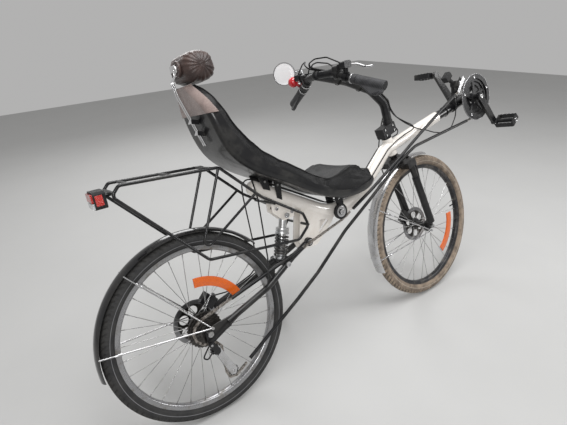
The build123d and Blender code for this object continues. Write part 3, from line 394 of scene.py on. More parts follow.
wheelPlaces = {"front": frontWheelPlace, "rear": leanPlace}
pearlPaint = paintFinish("pearlPaint", (0.80, 0.755, 0.70), (0.50, 0.44, 0.36), 0.38, 0.16, 0.8, flakeGlints=0.35)
blackPaint = paintFinish("blackPaint", (0.006, 0.006, 0.007), (0.050, 0.047, 0.042), 0.45, 0.24, 0.3)
ringPaint = paintFinish("ringPaint", (0.010, 0.010, 0.011), (0.11, 0.11, 0.11), 0.5, 0.34, 0.1)
blackFender = paintFinish("blackFender", (0.006, 0.006, 0.007), (0.060, 0.056, 0.050), 0.5, 0.14, 0.7)
silverFender = metalFinish("silverFender", (0.60, 0.60, 0.61), (0.34, 0.32, 0.29), 0.20, (3.0, 3.0, 3.0),
                           steerPlace, 0.45, 0.9)
bellPaint = paintFinish("bellPaint", (0.52, 0.012, 0.020), (0.30, 0.02, 0.02), 0.4, 0.15, 0.9, steerPlace)
darkRim = rimFinish("darkRim", wheelPlaces["front"], (0.035, 0.035, 0.038), (0.10, 0.09, 0.08), 0.6)
silverRim = rimFinish("silverRim", wheelPlaces["rear"], (0.36, 0.36, 0.37), (0.20, 0.185, 0.165), 1.0)
polished = metalFinish("polished", (0.56, 0.56, 0.57), (0.28, 0.27, 0.25), 0.18)
steeredSilver = metalFinish("steeredSilver", (0.50, 0.50, 0.51), (0.26, 0.25, 0.23), 0.2, place=steerPlace)
shockSilver = metalFinish("shockSilver", (0.66, 0.67, 0.68), (0.30, 0.28, 0.25), 0.24, (12.0, 12.0, 1.0))
forkBlack = paintFinish("forkBlack", (0.007, 0.007, 0.008), (0.060, 0.056, 0.050), 0.5, 0.27, 0.25, steerPlace)
chrome = metalFinish("chrome", (0.86, 0.86, 0.87), (0.52, 0.50, 0.48), 0.08, wear=0.35)
hubSilver = metalFinish("hubSilver", (0.34, 0.34, 0.35), (0.14, 0.13, 0.12), 0.24, (12.0, 1.0, 12.0))
hubBlack = metalFinish("hubBlack", (0.030, 0.030, 0.032), (0.075, 0.070, 0.062), 0.3, (12.0, 1.0, 12.0),
                       metallic=0.5)
spokeSteel = metalFinish("spokeSteel", (0.42, 0.42, 0.42), (0.22, 0.21, 0.19), 0.24)
cassetteSteel = metalFinish("cassetteSteel", (0.10, 0.095, 0.09), (0.020, 0.018, 0.016), 0.3, (12.0, 1.0, 12.0))
shellPlastic = plasticFinish("shellPlastic", (0.006, 0.006, 0.007), (0.028, 0.027, 0.025), 0.28, 0.12, coat=0.35)
blackPlastic = plasticFinish("blackPlastic", (0.009, 0.009, 0.010), (0.038, 0.037, 0.035), 0.45, 0.5)
barBlack = plasticFinish("barBlack", (0.007, 0.007, 0.008), (0.032, 0.031, 0.030), 0.36, 0.3, steerPlace, 0.15)
tubePlastic = plasticFinish("tubePlastic", (0.006, 0.006, 0.007), (0.030, 0.028, 0.026), 0.32, 0.1, coat=0.2)
gripRubber = finish("gripRubber", {}, rubberRibs)
seatFabric = finish("seatFabric", {"Sheen Weight": 0.03, "Sheen Roughness": 0.5, "Specular IOR Level": 0.25},
                    seatCover)
topFabric = finish("topFabric", {"Sheen Weight": 0.15, "Sheen Roughness": 0.5}, cushionTop)
capFabric = finish("capFabric", {"Sheen Weight": 0.35, "Sheen Roughness": 0.6}, capCloth)
headLeather = finish("headLeather", {"Sheen Weight": 0.05}, brownLeather)
redLens = finish("redLens", {"Coat Weight": 0.8, "Coat Roughness": 0.05}, lampRed)
clearLens = finish("clearLens", {"Coat Weight": 0.8, "Coat Roughness": 0.05}, lampClear)
orangeLens = finish("orangeLens", {"Coat Weight": 0.6, "Coat Roughness": 0.08}, reflectorOrange)
mirrorSilver = finish("mirrorSilver", {"Metallic": 0.2, "Coat Weight": 1.0, "Coat Roughness": 0.03}, mirrorGlass)
chainSteel = chainFinish("chainSteel", leanPlace)
coilBlack = finish("coilBlack", {"Coat Weight": 0.4, "Coat Roughness": 0.15}, springCoil)
frontDisc = discFinish("frontDisc", wheelPlaces["front"])
rearDisc = discFinish("rearDisc", wheelPlaces["rear"])
frontTread = tyreFinish("frontTread", wheelPlaces["front"], (0.115, 0.088, 0.066), (0.36, 0.285, 0.215),
                        (0.46, 0.42, 0.36), 0.0010, 96.0)
rearTread = tyreFinish("rearTread", wheelPlaces["rear"], (0.010, 0.010, 0.011), (0.036, 0.035, 0.033),
                       (0.20, 0.20, 0.21), 0.0012, 96.0)

nodeFinishes = {
    "main_frame": pearlPaint, "headset": blackPaint, "boom": blackPaint, "swingarm": blackPaint,
    "rear_axle": spokeSteel, "rear_shock": shockSilver, "shock_spring": coilBlack, "seat_shell": shellPlastic,
    "seat_cushion": seatFabric, "seat_cap": capFabric, "seat_brackets": blackPaint, "headrest": headLeather,
    "headrest_rods": chrome, "rear_rack": blackPaint, "tail_light": blackPlastic, "rear_fender": blackFender,
    "rear_fender_stays": polished, "idler": blackPlastic, "chain": chainSteel, "chain_tubes": tubePlastic,
    "front_derailleur": blackPlastic, "rear_derailleur": polished, "rear_brake_caliper": blackPaint,
    "stand_bracket": blackPaint, "rear_tyre": rearTread, "rear_rim": silverRim, "rear_spokes": spokeSteel,
    "rear_hub": hubBlack, "cassette": cassetteSteel, "rear_brake_disc": rearDisc, "steerer": forkBlack,
    "fork_lowers": forkBlack, "front_axle": spokeSteel, "front_fender": silverFender,
    "front_fender_stays": steeredSilver, "front_brake_caliper": blackPaint, "handlebar": barBlack,
    "left_grip": gripRubber, "right_grip": gripRubber, "brake_levers": barBlack, "shifters": barBlack,
    "mirror": steeredSilver, "mirror_glass": mirrorSilver, "bell": bellPaint, "front_tyre": frontTread,
    "front_rim": darkRim, "front_spokes": spokeSteel, "front_hub": hubBlack, "front_brake_disc": frontDisc,
    "chainrings": ringPaint, "crank_arms": blackPaint, "right_pedal": blackPlastic, "left_pedal": blackPlastic,
    "side_stand": blackPaint, "bar_cables": tubePlastic, "boom_cables": tubePlastic,
}
for name, node in nodes.items():
    node.data.materials.clear()
    node.data.materials.append(nodeFinishes[name])
print("stage: finishes made for", len(nodes), "nodes")


def alone(piece):
    # selects one piece and nothing else
    bpy.ops.object.select_all(action="DESELECT")
    piece.select_set(True)
    bpy.context.view_layer.objects.active = piece


def newest(name):
    piece = bpy.context.active_object
    piece.name = name
    piece.data.name = name
    return piece


def settle(piece, place):
    # puts a piece that was drawn upright into its place in the row, in its mesh
    bpy.context.view_layer.update()
    piece.matrix_world = place @ piece.matrix_world
    alone(piece)
    bpy.ops.object.transform_apply(location=True, rotation=True, scale=True)


def smoothed(piece, angle=35.0):
    alone(piece)
    bpy.ops.object.shade_smooth_by_angle(angle=math.radians(angle))


def rounded(piece):
    alone(piece)
    bpy.ops.object.shade_smooth()


def added(shape, name, **settings):
    # a new piece by one of Blender's own shapes
    bpy.ops.object.select_all(action="DESELECT")
    shape(**settings)
    return newest(name)


def dressed(piece, material, body):
    piece.data.materials.clear()
    piece.data.materials.append(material)
    if body:
        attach(piece, body)
    return piece


def joined(pieces, name):
    bpy.ops.object.select_all(action="DESELECT")
    for piece in pieces:
        piece.select_set(True)
    bpy.context.view_layer.objects.active = pieces[0]
    if len(pieces) > 1:
        bpy.ops.object.join()
    return newest(name)


def copiedTo(model, places, name):
    # one copy of the model for each matrix, joined into one piece; the model goes
    copies = []
    for place in places:
        copy = bpy.data.objects.new(name, model.data.copy())
        copy.data.transform(place @ model.matrix_world)
        bpy.context.collection.objects.link(copy)
        copies.append(copy)
    bpy.data.objects.remove(model)
    return joined(copies, name)


def applyModifier(piece, kind, **settings):
    alone(piece)
    modifier = piece.modifiers.new(kind.lower(), kind)
    for name, value in settings.items():
        setattr(modifier, name, value)
    bpy.ops.object.modifier_apply(modifier=modifier.name)


def cornered(piece, width):
    applyModifier(piece, "BEVEL", width=width, segments=2, limit_method="ANGLE", angle_limit=math.radians(50))


def fitted(model, places, name, material, body, slot, angle=35.0):
    piece = copiedTo(model, places, name)
    smoothed(piece, angle)
    return dressed(piece, material, body)


def edited(piece, chooser, *steps, mode="FACE"):
    # in edit mode, selects the faces that chooser accepts, then runs the steps
    alone(piece)
    bpy.ops.object.mode_set(mode="EDIT")
    bpy.ops.mesh.select_mode(type=mode)
    bpy.ops.mesh.select_all(action="DESELECT")
    bpy.ops.object.mode_set(mode="OBJECT")
    parts = {"FACE": piece.data.polygons, "EDGE": piece.data.edges, "VERT": piece.data.vertices}[mode]
    for part in parts:
        part.select = bool(chooser(part))
    bpy.ops.object.mode_set(mode="EDIT")
    for step in steps:
        step()
    bpy.ops.object.mode_set(mode="OBJECT")


def copyOf(node, name):
    # a merged copy of a CAD node's mesh, in the row's frame
    piece = bpy.data.objects.new(name, nodes[node].data.copy())
    bpy.context.collection.objects.link(piece)
    edited(piece, lambda face: True, lambda: bpy.ops.mesh.remove_doubles(threshold=0.00002))
    return piece


def remeshed(piece, voxel):
    alone(piece)
    piece.data.remesh_voxel_size = voxel
    bpy.ops.object.voxel_remesh()


def swelled(piece, held, pressure, most, frames=20):
    # cloth filled from inside: the points in held stay, and none moves further than most
    before = [vertex.co.copy() for vertex in piece.data.vertices]
    group = piece.vertex_groups.new(name="held")
    group.add(held, 1.0, "REPLACE")
    alone(piece)
    cloth = piece.modifiers.new("cloth", "CLOTH")
    cloth.settings.quality = 5
    cloth.settings.mass = 0.3
    cloth.settings.tension_stiffness = 12
    cloth.settings.compression_stiffness = 12
    cloth.settings.bending_stiffness = 0.4
    cloth.settings.use_pressure = True
    cloth.settings.uniform_pressure_force = pressure
    cloth.settings.effector_weights.gravity = 0
    cloth.settings.vertex_group_mass = "held"
    cloth.point_cache.frame_start = 1
    cloth.point_cache.frame_end = frames
    for step in range(1, frames + 1):
        bpy.context.scene.frame_set(step)
    bpy.ops.object.modifier_apply(modifier=cloth.name)
    piece.vertex_groups.clear()
    bpy.context.scene.frame_set(1)
    for vertex, start in zip(piece.data.vertices, before):
        moved = vertex.co - start
        if moved.length > most:
            vertex.co = start + moved * (most / moved.length)


def treeOf(mesh):
    # a mesh's surface, for finding the nearest point on it
    return BVHTree.FromPolygons([vertex.co.copy() for vertex in mesh.vertices],
                                [list(face.vertices) for face in mesh.polygons])


# Seat cushion: the CAD solid shrunk a little, swelled by pressure where the shell doesn't hold it
seatStations = [
    # x, z, half width, edge of the cushion above the shell's underside
    (0.128, 0.769, 0.042, 0.034), (0.132, 0.752, 0.062, 0.040), (0.138, 0.732, 0.081, 0.046),
    (0.147, 0.700, 0.104, 0.052), (0.165, 0.625, 0.118, 0.064), (0.200, 0.540, 0.120, 0.078),
    (0.262, 0.478, 0.122, 0.072), (0.392, 0.400, 0.124, 0.062), (0.535, 0.316, 0.124, 0.070),
    (0.640, 0.286, 0.120, 0.114), (0.722, 0.284, 0.112, 0.106), (0.793, 0.304, 0.094, 0.062),
]
seatLine = [(x, z) for x, z, half, edge in seatStations]
cushionSizes = {"voxel": 0.005, "pressure": 4.0, "swell": 0.005, "seamDepth": 0.0035, "seamWidth": 0.009,
                "seams": (0.405, 0.62), "foldDepth": 0.0016, "touch": 0.004}
pipingSizes = {"radius": 0.0022, "inset": 0.0075, "below": 0.002, "above": 0.0006, "between": 6}


def seatSpot(point):
    # how far along the seat's line a drawn point is (0 at the top, in metres), and how far off it
    best = (1e9, 0.0)
    run = 0.0
    for (x0, z0), (x1, z1) in zip(seatLine, seatLine[1:]):
        step = Vector((x1 - x0, z1 - z0))
        reach = Vector((point.x - x0, point.z - z0))
        share = min(max(reach.dot(step) / step.length_squared, 0), 1)
        away = (reach - step * share).length
        if away < best[0]:
            best = (away, run + share * step.length)
        run += step.length
    return best[1], best[0]


def softSeat():
    cushion = copyOf("seat_cushion", "seatCushion")
    remeshed(cushion, cushionSizes["voxel"])
    shell = treeOf(nodes["seat_shell"].data)
    held = []
    for vertex in cushion.data.vertices:
        nearest = shell.find_nearest(vertex.co)
        if nearest[3] < cushionSizes["touch"]:
            held.append(vertex.index)
    swelled(cushion, held, cushionSizes["pressure"], cushionSizes["swell"])
    upright = leanPlace.inverted()
    heldSet = set(held)
    normals = [vertex.normal.copy() for vertex in cushion.data.vertices]
    for vertex, normal in zip(cushion.data.vertices, normals):
        spot = upright @ vertex.co
        run, away = seatSpot(spot)
        sink = 0.0
        for seam in cushionSizes["seams"]:
            sink += cushionSizes["seamDepth"] * math.exp(-((run - seam) / cushionSizes["seamWidth"]) ** 2)
        fold = noise.noise(Vector((run * 26.0, spot.y * 7.0, away * 18.0)))
        sink += cushionSizes["foldDepth"] * max(0.0, fold) * 1.4
        if vertex.index not in heldSet:
            vertex.co -= normal * sink
    applyModifier(cushion, "SUBSURF", levels=1, render_levels=1)
    rounded(cushion)
    dressed(cushion, seatFabric, "frame")
    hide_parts("seat_cushion")
    return cushion


seatCushion = softSeat()
print("stage: seat cushion", len(seatCushion.data.polygons), "faces")


def seamRoute(name, points, radius, closed=False):
    # a round seam along smooth points
    curve = bpy.data.curves.new(name, "CURVE")
    curve.dimensions = "3D"
    spline = curve.splines.new("NURBS")
    spline.points.add(len(points) - 1)
    for target, point in zip(spline.points, points):
        target.co = (*point, 1.0)
    spline.order_u = 3
    spline.use_cyclic_u = closed
    spline.use_endpoint_u = not closed
    spline.resolution_u = 8
    curve.bevel_depth = radius
    curve.bevel_resolution = 3
    curve.use_fill_caps = True
    piece = bpy.data.objects.new(name, curve)
    bpy.context.collection.objects.link(piece)
    alone(piece)
    bpy.ops.object.convert(target="MESH")
    return newest(name)


def seatPiping():
    # sewn along the cushion's edge, lying on its surface
    surface = treeOf(seatCushion.data)
    sides = []
    for sign in (-1, 1):
        edge = []
        for index, (x, z, half, height) in enumerate(seatStations):
            before = seatStations[max(index - 1, 0)]
            after = seatStations[min(index + 1, len(seatStations) - 1)]
            along = Vector((after[0] - before[0], 0, after[1] - before[1])).normalized()
            up = Vector((-along.z, 0, along.x))
            edge.append(Vector((x, sign * (half - pipingSizes["inset"]),
                                z)) + up * (height - pipingSizes["below"]))
        dense = []
        for a, b in zip(edge, edge[1:]):
            dense += [a.lerp(b, share / pipingSizes["between"]) for share in range(pipingSizes["between"])]
        dense.append(edge[-1])
        sides.append([leanPlace @ point for point in dense])
    loop = sides[0] + sides[1][::-1]
    lying = []
    for point in loop:
        found, normal, index, away = surface.find_nearest(point)
        lying.append(found + normal * pipingSizes["above"])
    piping = seamRoute("seatPiping", lying, pipingSizes["radius"], closed=True)
    smoothed(piping, 60)
    return dressed(piping, seatFabric, "frame")


seatPiping()

# Headrest: a stuffed leather roll with gathered ends, and its hub
headrestSizes = {"middle": (0.178, 0.0, 0.825), "size": (0.106, 0.168, 0.094), "round": 0.041, "voxel": 0.0045,
                 "pressure": 4.0, "swell": 0.005, "wrinkle": 0.0026}


def leatherRoll():
    roll = added(bpy.ops.mesh.primitive_cube_add, "headrestRoll", size=1.0)
    roll.scale = headrestSizes["size"]
    roll.location = headrestSizes["middle"]
    settle(roll, leanPlace)
    applyModifier(roll, "BEVEL", width=headrestSizes["round"], segments=8, limit_method="NONE")
    remeshed(roll, headrestSizes["voxel"])
    swelled(roll, [], headrestSizes["pressure"], headrestSizes["swell"])
    upright = leanPlace.inverted()
    middle = Vector(headrestSizes["middle"])
    applyModifier(roll, "SUBSURF", levels=1, render_levels=1)
    normals = [vertex.normal.copy() for vertex in roll.data.vertices]
    for vertex, normal in zip(roll.data.vertices, normals):
        spot = upright @ vertex.co - middle
        turn = math.atan2(spot.z, spot.x)
        ends = abs(spot.y) / (headrestSizes["size"][1] / 2)
        folds = noise.noise(Vector((math.cos(turn) * 5.5, math.sin(turn) * 5.5, spot.y * 14.0)))
        gather = math.sin(turn * 17 + 2.0 * noise.noise(Vector((spot.y * 20, turn, 3.0)))) * max(0.0, ends - 0.55)
        vertex.co += normal * headrestSizes["wrinkle"] * (0.9 * folds + 1.1 * gather - 0.5)
    rounded(roll)
    dressed(roll, headLeather, "frame")
    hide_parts("headrest")
    return roll


headrestRoll = leatherRoll()
print("stage: headrest", len(headrestRoll.data.polygons), "faces")

# Cloth cap over the top of the seat: the CAD pocket, with soft pulls
capSizes = {"voxel": 0.0025, "pull": 0.0012}


def clothCap():
    cap = copyOf("seat_cap", "seatCap")
    remeshed(cap, capSizes["voxel"])
    upright = leanPlace.inverted()
    normals = [vertex.normal.copy() for vertex in cap.data.vertices]
    for vertex, normal in zip(cap.data.vertices, normals):
        spot = upright @ vertex.co
        pull = noise.noise(Vector((spot.x * 14, spot.y * 9, spot.z * 16)))
        fine = noise.noise(Vector((spot.x * 55, spot.y * 30, spot.z * 40)))
        vertex.co -= normal * capSizes["pull"] * (0.6 + 0.7 * pull + 0.25 * fine)
    rounded(cap)
    dressed(cap, capFabric, "frame")
    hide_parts("seat_cap")
    return cap


seatCap = clothCap()
print("stage: seat cap", len(seatCap.data.polygons), "faces")


# Flat rings that stand in the side view, plain or toothed, whole or only part of the way round
def sideRing(name, outer, inner, thickness, count, teeth=0.0, arc=None, bevel=0.0, innerBevel=0.0):
    piece = added(bpy.ops.mesh.primitive_circle_add, name, vertices=count, radius=outer)
    shrink = inner / outer
    edited(piece, lambda edge: True, bpy.ops.mesh.extrude_edges_move,
           lambda: bpy.ops.transform.resize(value=(shrink, shrink, 1), center_override=(0, 0, 0)), mode="EDGE")
    if teeth:
        grow = 1 + teeth / outer
        edited(piece, lambda point: point.index < count and point.index % 4 < 2,
               lambda: bpy.ops.transform.resize(value=(grow, grow, 1), center_override=(0, 0, 0)), mode="VERT")
    if arc:
        edited(piece, lambda face: not arc[0] <= math.degrees(math.atan2(face.center.y, face.center.x)) <= arc[1],
               lambda: bpy.ops.mesh.delete(type="FACE"))
    applyModifier(piece, "SOLIDIFY", thickness=thickness, offset=0.0)
    if innerBevel:
        points = piece.data.vertices
        edited(piece, lambda edge: all(points[end].co.xy.length < inner * 1.005 for end in edge.vertices)
               and abs(points[edge.vertices[0]].co.z - points[edge.vertices[1]].co.z) < 0.0001,
               lambda: bpy.ops.mesh.bevel(offset=innerBevel, segments=3), mode="EDGE")
    if bevel:
        cornered(piece, bevel)
    piece.rotation_euler = (math.pi / 2, 0, 0)
    return piece


def stood(piece, spot, place, material, body, angle=35.0):
    piece.location = spot
    settle(piece, place)
    smoothed(piece, angle)
    return dressed(piece, material, body)


def facing(spot, way, place=leanPlace):
    # the matrix that stands a model's Z along a way of the upright drawing, at a spot there
    return place @ Matrix.Translation(spot) @ Vector(way).to_track_quat("Z", "Y").to_matrix().to_4x4()


def turned(name, sides, radius, height, inset=0.0, sink=0.0, bevel=0.0):
    # a round or six-sided head that stands on Z = 0, its top inset and sunk
    piece = added(bpy.ops.mesh.primitive_cylinder_add, name, vertices=sides, radius=radius, depth=height,
                  location=(0, 0, height / 2))
    settle(piece, Matrix.Identity(4))
    if inset:
        edited(piece, lambda face: face.normal.z > 0.9, lambda: bpy.ops.mesh.inset(thickness=inset, depth=0.0),
               lambda: bpy.ops.mesh.inset(thickness=radius * 0.02, depth=-sink))
    if bevel:
        cornered(piece, bevel)
    return piece


# Tyres: a round tube with cuts pressed into its tread and a raised band on each wall
tyreSizes = {"ring": 0.3025, "tube": 0.0235, "around": 384, "across": 40, "cut": 0.0014, "lip": 0.0009,
             "bandHeight": 0.0006}


def treadedTyre(name, node, place, body):
    s = tyreSizes
    tyre = added(bpy.ops.mesh.primitive_torus_add, name, major_segments=s["around"], minor_segments=s["across"],
                 major_radius=s["ring"], minor_radius=s["tube"])

    def spotOf(face):
        reach = face.center.xy.length - s["ring"]
        column = int((math.atan2(face.center.y, face.center.x) / math.tau + 0.5) * s["around"])
        row = math.atan2(face.center.z, reach) / math.tau * s["across"]
        return column, row

    def cut(face):
        column, row = spotOf(face)
        return abs(row) < 6 and (column + int(abs(row))) % 6 == 0 or 6 < abs(row) < 8 and column % 4 == 0

    def band(face):
        return 13 < abs(spotOf(face)[1]) < 15

    edited(tyre, cut, lambda: bpy.ops.mesh.inset(thickness=s["lip"], depth=-s["cut"]))
    edited(tyre, band, lambda: bpy.ops.mesh.inset(thickness=s["lip"], depth=s["bandHeight"]))
    tyre.rotation_euler = (math.pi / 2, 0, 0)
    stood(tyre, (0, 0, 0), place, nodeFinishes[node], body, 40.0)
    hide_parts(node)


treadedTyre("rearTyreTread", "rear_tyre", wheelPlaces["rear"], "rear_wheel")
treadedTyre("frontTyreTread", "front_tyre", wheelPlaces["front"], "front_wheel")
print("stage: tyres")

# Rims, spoke nipples, valves, reflectors and the bolts of the brake discs
rimSizes = {"outer": 0.288, "inner": 0.265, "width": 0.025, "round": 0.0075}
nippleSizes = {"radius": 0.0021, "length": 0.013}
valveSizes = {"radius": 0.003, "length": 0.034, "angle": 5.6}
spokeSizes = {"count": 32, "lean": 0.7, "atHub": 0.003, "atRim": 0.0025}
discBoltSizes = {"radius": 0.0042, "height": 0.0026, "circle": 0.0195, "count": 6}
wheelFacts = {
    # place, body, rim slot, flange y of even and odd spokes, flange radius, disc's outer face, reflector
    "rear": (wheelPlaces["rear"], "rear_wheel", "rim_silver", (0.034, -0.018), 0.025, 0.053,
             (0.1780, 0.1450, (25.0, 88.0), -0.0165)),
    "front": (wheelPlaces["front"], "front_wheel", "rim_dark", (0.033, -0.033), 0.023, 0.042,
              (0.1985, 0.1655, (-58.0, 2.0), -0.0215)),
}
for name, (place, body, slot, flanges, foot, discFace, reflector) in wheelFacts.items():
    rim = sideRing(name + "RimHoop", rimSizes["outer"], rimSizes["inner"], rimSizes["width"], 160,
                   innerBevel=rimSizes["round"])
    stood(rim, (0, 0, 0), place, nodeFinishes[name + "_rim"], body)
    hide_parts(name + "_rim")
    nipple = turned("nipple", 6, nippleSizes["radius"], nippleSizes["length"], bevel=0.0005)
    places = []
    for index in range(spokeSizes["count"]):
        angle = math.tau * index / spokeSizes["count"]
        y = flanges[index % 2]
        way = 1 if index % 4 < 2 else -1
        lean = angle + spokeSizes["lean"] * way
        start = Vector((foot * math.cos(lean), y + spokeSizes["atHub"] * way, foot * math.sin(lean)))
        end = Vector((rimSizes["inner"] * math.cos(angle), math.copysign(spokeSizes["atRim"], y),
                      rimSizes["inner"] * math.sin(angle)))
        places.append(facing(end, start - end, place))
    fitted(nipple, places, name + "Nipples", spokeSteel, body, "steel")
    valve = turned("valve", 16, valveSizes["radius"], valveSizes["length"], 0.0006, 0.001, 0.0006)
    edited(valve, lambda face: face.normal.z > 0.9 and face.center.z > valveSizes["length"] * 0.9,
           lambda: bpy.ops.transform.resize(value=(0.7, 0.7, 1)))
    angle = math.radians(valveSizes["angle"])
    outward = Vector((math.cos(angle), 0, math.sin(angle)))
    fitted(valve, [facing(outward * rimSizes["inner"], -outward, place)], name + "Valve", blackPlastic, body,
           "black_plastic")
    outer, inner, arc, y = reflector
    lens = sideRing(name + "Reflector", outer, inner, 0.006, 180, arc=arc, bevel=0.0016)
    stood(lens, (0, y, 0), place, orangeLens, body)
    bolt = turned("discBolt", 14, discBoltSizes["radius"], discBoltSizes["height"], 0.0018, 0.0014, 0.0005)
    circle = discBoltSizes["circle"]
    places = [facing((circle * math.cos(turn), discFace, circle * math.sin(turn)), (0, 1, 0), place)
              for turn in (math.tau * step / discBoltSizes["count"] for step in range(discBoltSizes["count"]))]
    fitted(bolt, places, name + "DiscBolts", spokeSteel, body, "steel")
print("stage: wheels")

# Toothed rings: chainrings, cogs and pulleys
bbSpot = Vector((1.55008, 0, 0.52168))
idlerSpot = Vector((0.633, 0, 0.224))
chainLine = -0.047
ringFacts = [
    # name, centre, y, radius at the foot of the teeth, inner radius, teeth, material, body, slot
    ("smallRing", bbSpot, -0.041, 0.0605, 0.050, 30, ringPaint, "crankset", "ring_black"),
    ("middleRing", bbSpot, -0.047, 0.0795, 0.069, 40, ringPaint, "crankset", "ring_black"),
    ("bigRing", bbSpot, -0.053, 0.0970, 0.086, 48, ringPaint, "crankset", "ring_black"),
]
cogFacts = ((0.029, 0.060, 30), (0.035, 0.053, 26), (0.041, 0.047, 23), (0.047, 0.0392, 20), (0.053, 0.034, 17),
            (0.059, 0.028, 14))
for y, radius, teeth in cogFacts:
    ringFacts.append(("cog%d" % teeth, Vector((0, 0, 0)), -y, radius, radius - 0.009, teeth, cassetteSteel,
                      "rear_wheel", "steel"))
for name, x, z in (("guidePulley", 0.012, -0.074), ("tensionPulley", 0.056, -0.178)):
    ringFacts.append((name, Vector((x, 0, z)), chainLine, 0.0165, 0.009, 11, blackPlastic, "frame",
                      "black_plastic"))
for name, centre, y, radius, inner, teeth, material, body, slot in ringFacts:
    thickness = 0.0066 if "Pulley" in name else 0.0023
    ring = sideRing(name + "Teeth", radius, inner, thickness, teeth * 4, teeth=0.0028, bevel=0.0004)
    stood(ring, centre + Vector((0, y, 0)), leanPlace, material, body)
guardEdge = sideRing("guardEdge", 0.1084, 0.1052, 0.0036, 128, bevel=0.0008)
stood(guardEdge, bbSpot + Vector((0, -0.059, 0)), leanPlace, hubSilver, "crankset")
print("stage: toothed rings")

# Chain: pairs of outer and inner plates with their rollers, along the three bare stretches
chainSizes = {"pitch": 0.0127, "plate": 0.0042, "thin": 0.0009, "outerY": 0.0028, "innerY": 0.0018,
              "roller": 0.0036, "rollerWidth": 0.0034}


def roundedRun(points, bends):
    # straight runs with arcs between them, every millimetre or so
    points = [Vector(point) for point in points]
    run = [points[0]]
    for before, corner, after, bend in zip(points, points[1:], points[2:], bends):
        first, second = (before - corner).normalized(), (after - corner).normalized()
        half = first.angle(second) / 2
        reach = bend / math.tan(half)
        middle = corner + (first + second).normalized() * (bend / math.sin(half))
        start, end = corner + first * reach - middle, corner + second * reach - middle
        sweep = math.atan2(start.cross(end), start.dot(end))
        steps = max(2, int(abs(sweep) * bend / 0.002))
        for step in range(steps + 1):
            turn = sweep * step / steps
            run.append(middle + Vector((start.x * math.cos(turn) - start.y * math.sin(turn),
                                        start.x * math.sin(turn) + start.y * math.cos(turn))))
    run.append(points[-1])
    return run


def linkModel():
    plates = []
    for shift, y in ((0, "outerY"), (chainSizes["pitch"], "innerY")):
        for sign in (-1, 1):
            plate = added(bpy.ops.mesh.primitive_circle_add, "plate", vertices=10, radius=chainSizes["plate"],
                          fill_type="NGON")
            edited(plate, lambda point: point.co.x > 0.0001,
                   lambda: bpy.ops.transform.translate(value=(chainSizes["pitch"], 0, 0)), mode="VERT")
            applyModifier(plate, "SOLIDIFY", thickness=chainSizes["thin"], offset=0.0)
            plate.rotation_euler = (math.pi / 2, 0, 0)
            plate.location = (shift, sign * chainSizes[y], 0)
            settle(plate, Matrix.Identity(4))
            plates.append(plate)
        roller = turned("roller", 8, chainSizes["roller"], chainSizes["rollerWidth"])
        roller.rotation_euler = (math.pi / 2, 0, 0)
        roller.location = (shift, chainSizes["rollerWidth"] / 2, 0)
        settle(roller, Matrix.Identity(4))
        plates.append(roller)
    return joined(plates, "link")


def tangentAt(centre, radius, angle, over, x):
    touchX = centre[0] - over * radius * math.sin(angle)
    touchZ = centre[1] + over * radius * math.cos(angle)
    return (x, touchZ + (x - touchX) * math.tan(angle))


ringReach, cogReach = 0.087, 0.0465
power, back, cogSlope = math.radians(24.2), math.radians(9.3), math.radians(12.7)
bbCentre = (bbSpot.x, bbSpot.z)
chainRuns = [
    # points (x, z) of each bare stretch, and the radii of its bends
    ([tangentAt(bbCentre, ringReach, slope, over, x)
      for slope, over, x in ((power, 1, 1.410), (power, 1, bbSpot.x + ringReach),
                             (back, -1, bbSpot.x + ringReach), (back, -1, 1.480))],
     [ringReach - 0.0006] * 2),
    ([(0.430, 0.1426), (0.640, 0.190), (0.700, 0.2155)], [0.040]),
    ([tangentAt((0, 0), cogReach, cogSlope, 1, 0.110), tangentAt((0, 0), cogReach, cogSlope, 1, -cogReach),
      (-cogReach, -0.0342), (0.0375, -0.0561), (0.029, -0.220), (0.126, -0.1686)], [0.0459, 0.0459, 0.024, 0.024]),
]
linkPlaces = []
for points, bends in chainRuns:
    run = roundedRun(points, bends)
    lengths = [0.0]
    for a, b in zip(run, run[1:]):
        lengths.append(lengths[-1] + (b - a).length)

    def spotAt(length):
        for index in range(1, len(run)):
            if lengths[index] >= length:
                share = (length - lengths[index - 1]) / max(lengths[index] - lengths[index - 1], 1e-9)
                return run[index - 1].lerp(run[index], share)
        return run[-1]

    step = chainSizes["pitch"] * 2
    for count in range(int((lengths[-1] - 0.004) / step)):
        here, ahead = spotAt(count * step + 0.003), spotAt((count + 1) * step + 0.003)
        tilt = math.atan2(ahead.y - here.y, ahead.x - here.x)
        linkPlaces.append(leanPlace @ Matrix.Translation((here.x, chainLine, here.y))
                          @ Matrix.Rotation(-tilt, 4, "Y"))
chainLinks = fitted(linkModel(), linkPlaces, "chainLinks", chainSteel, "frame", "chain_steel")
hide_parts("chain")
print("stage: chain", len(linkPlaces), "pairs of links")

# Coil of the shock, its collars and the damper inside it
coilSizes = {"radius": 0.0232, "wire": 0.0041, "turns": 6.5, "low": (0.352, 0.108), "high": (0.403, 0.276),
             "from": 0.0245, "to": 0.1035}


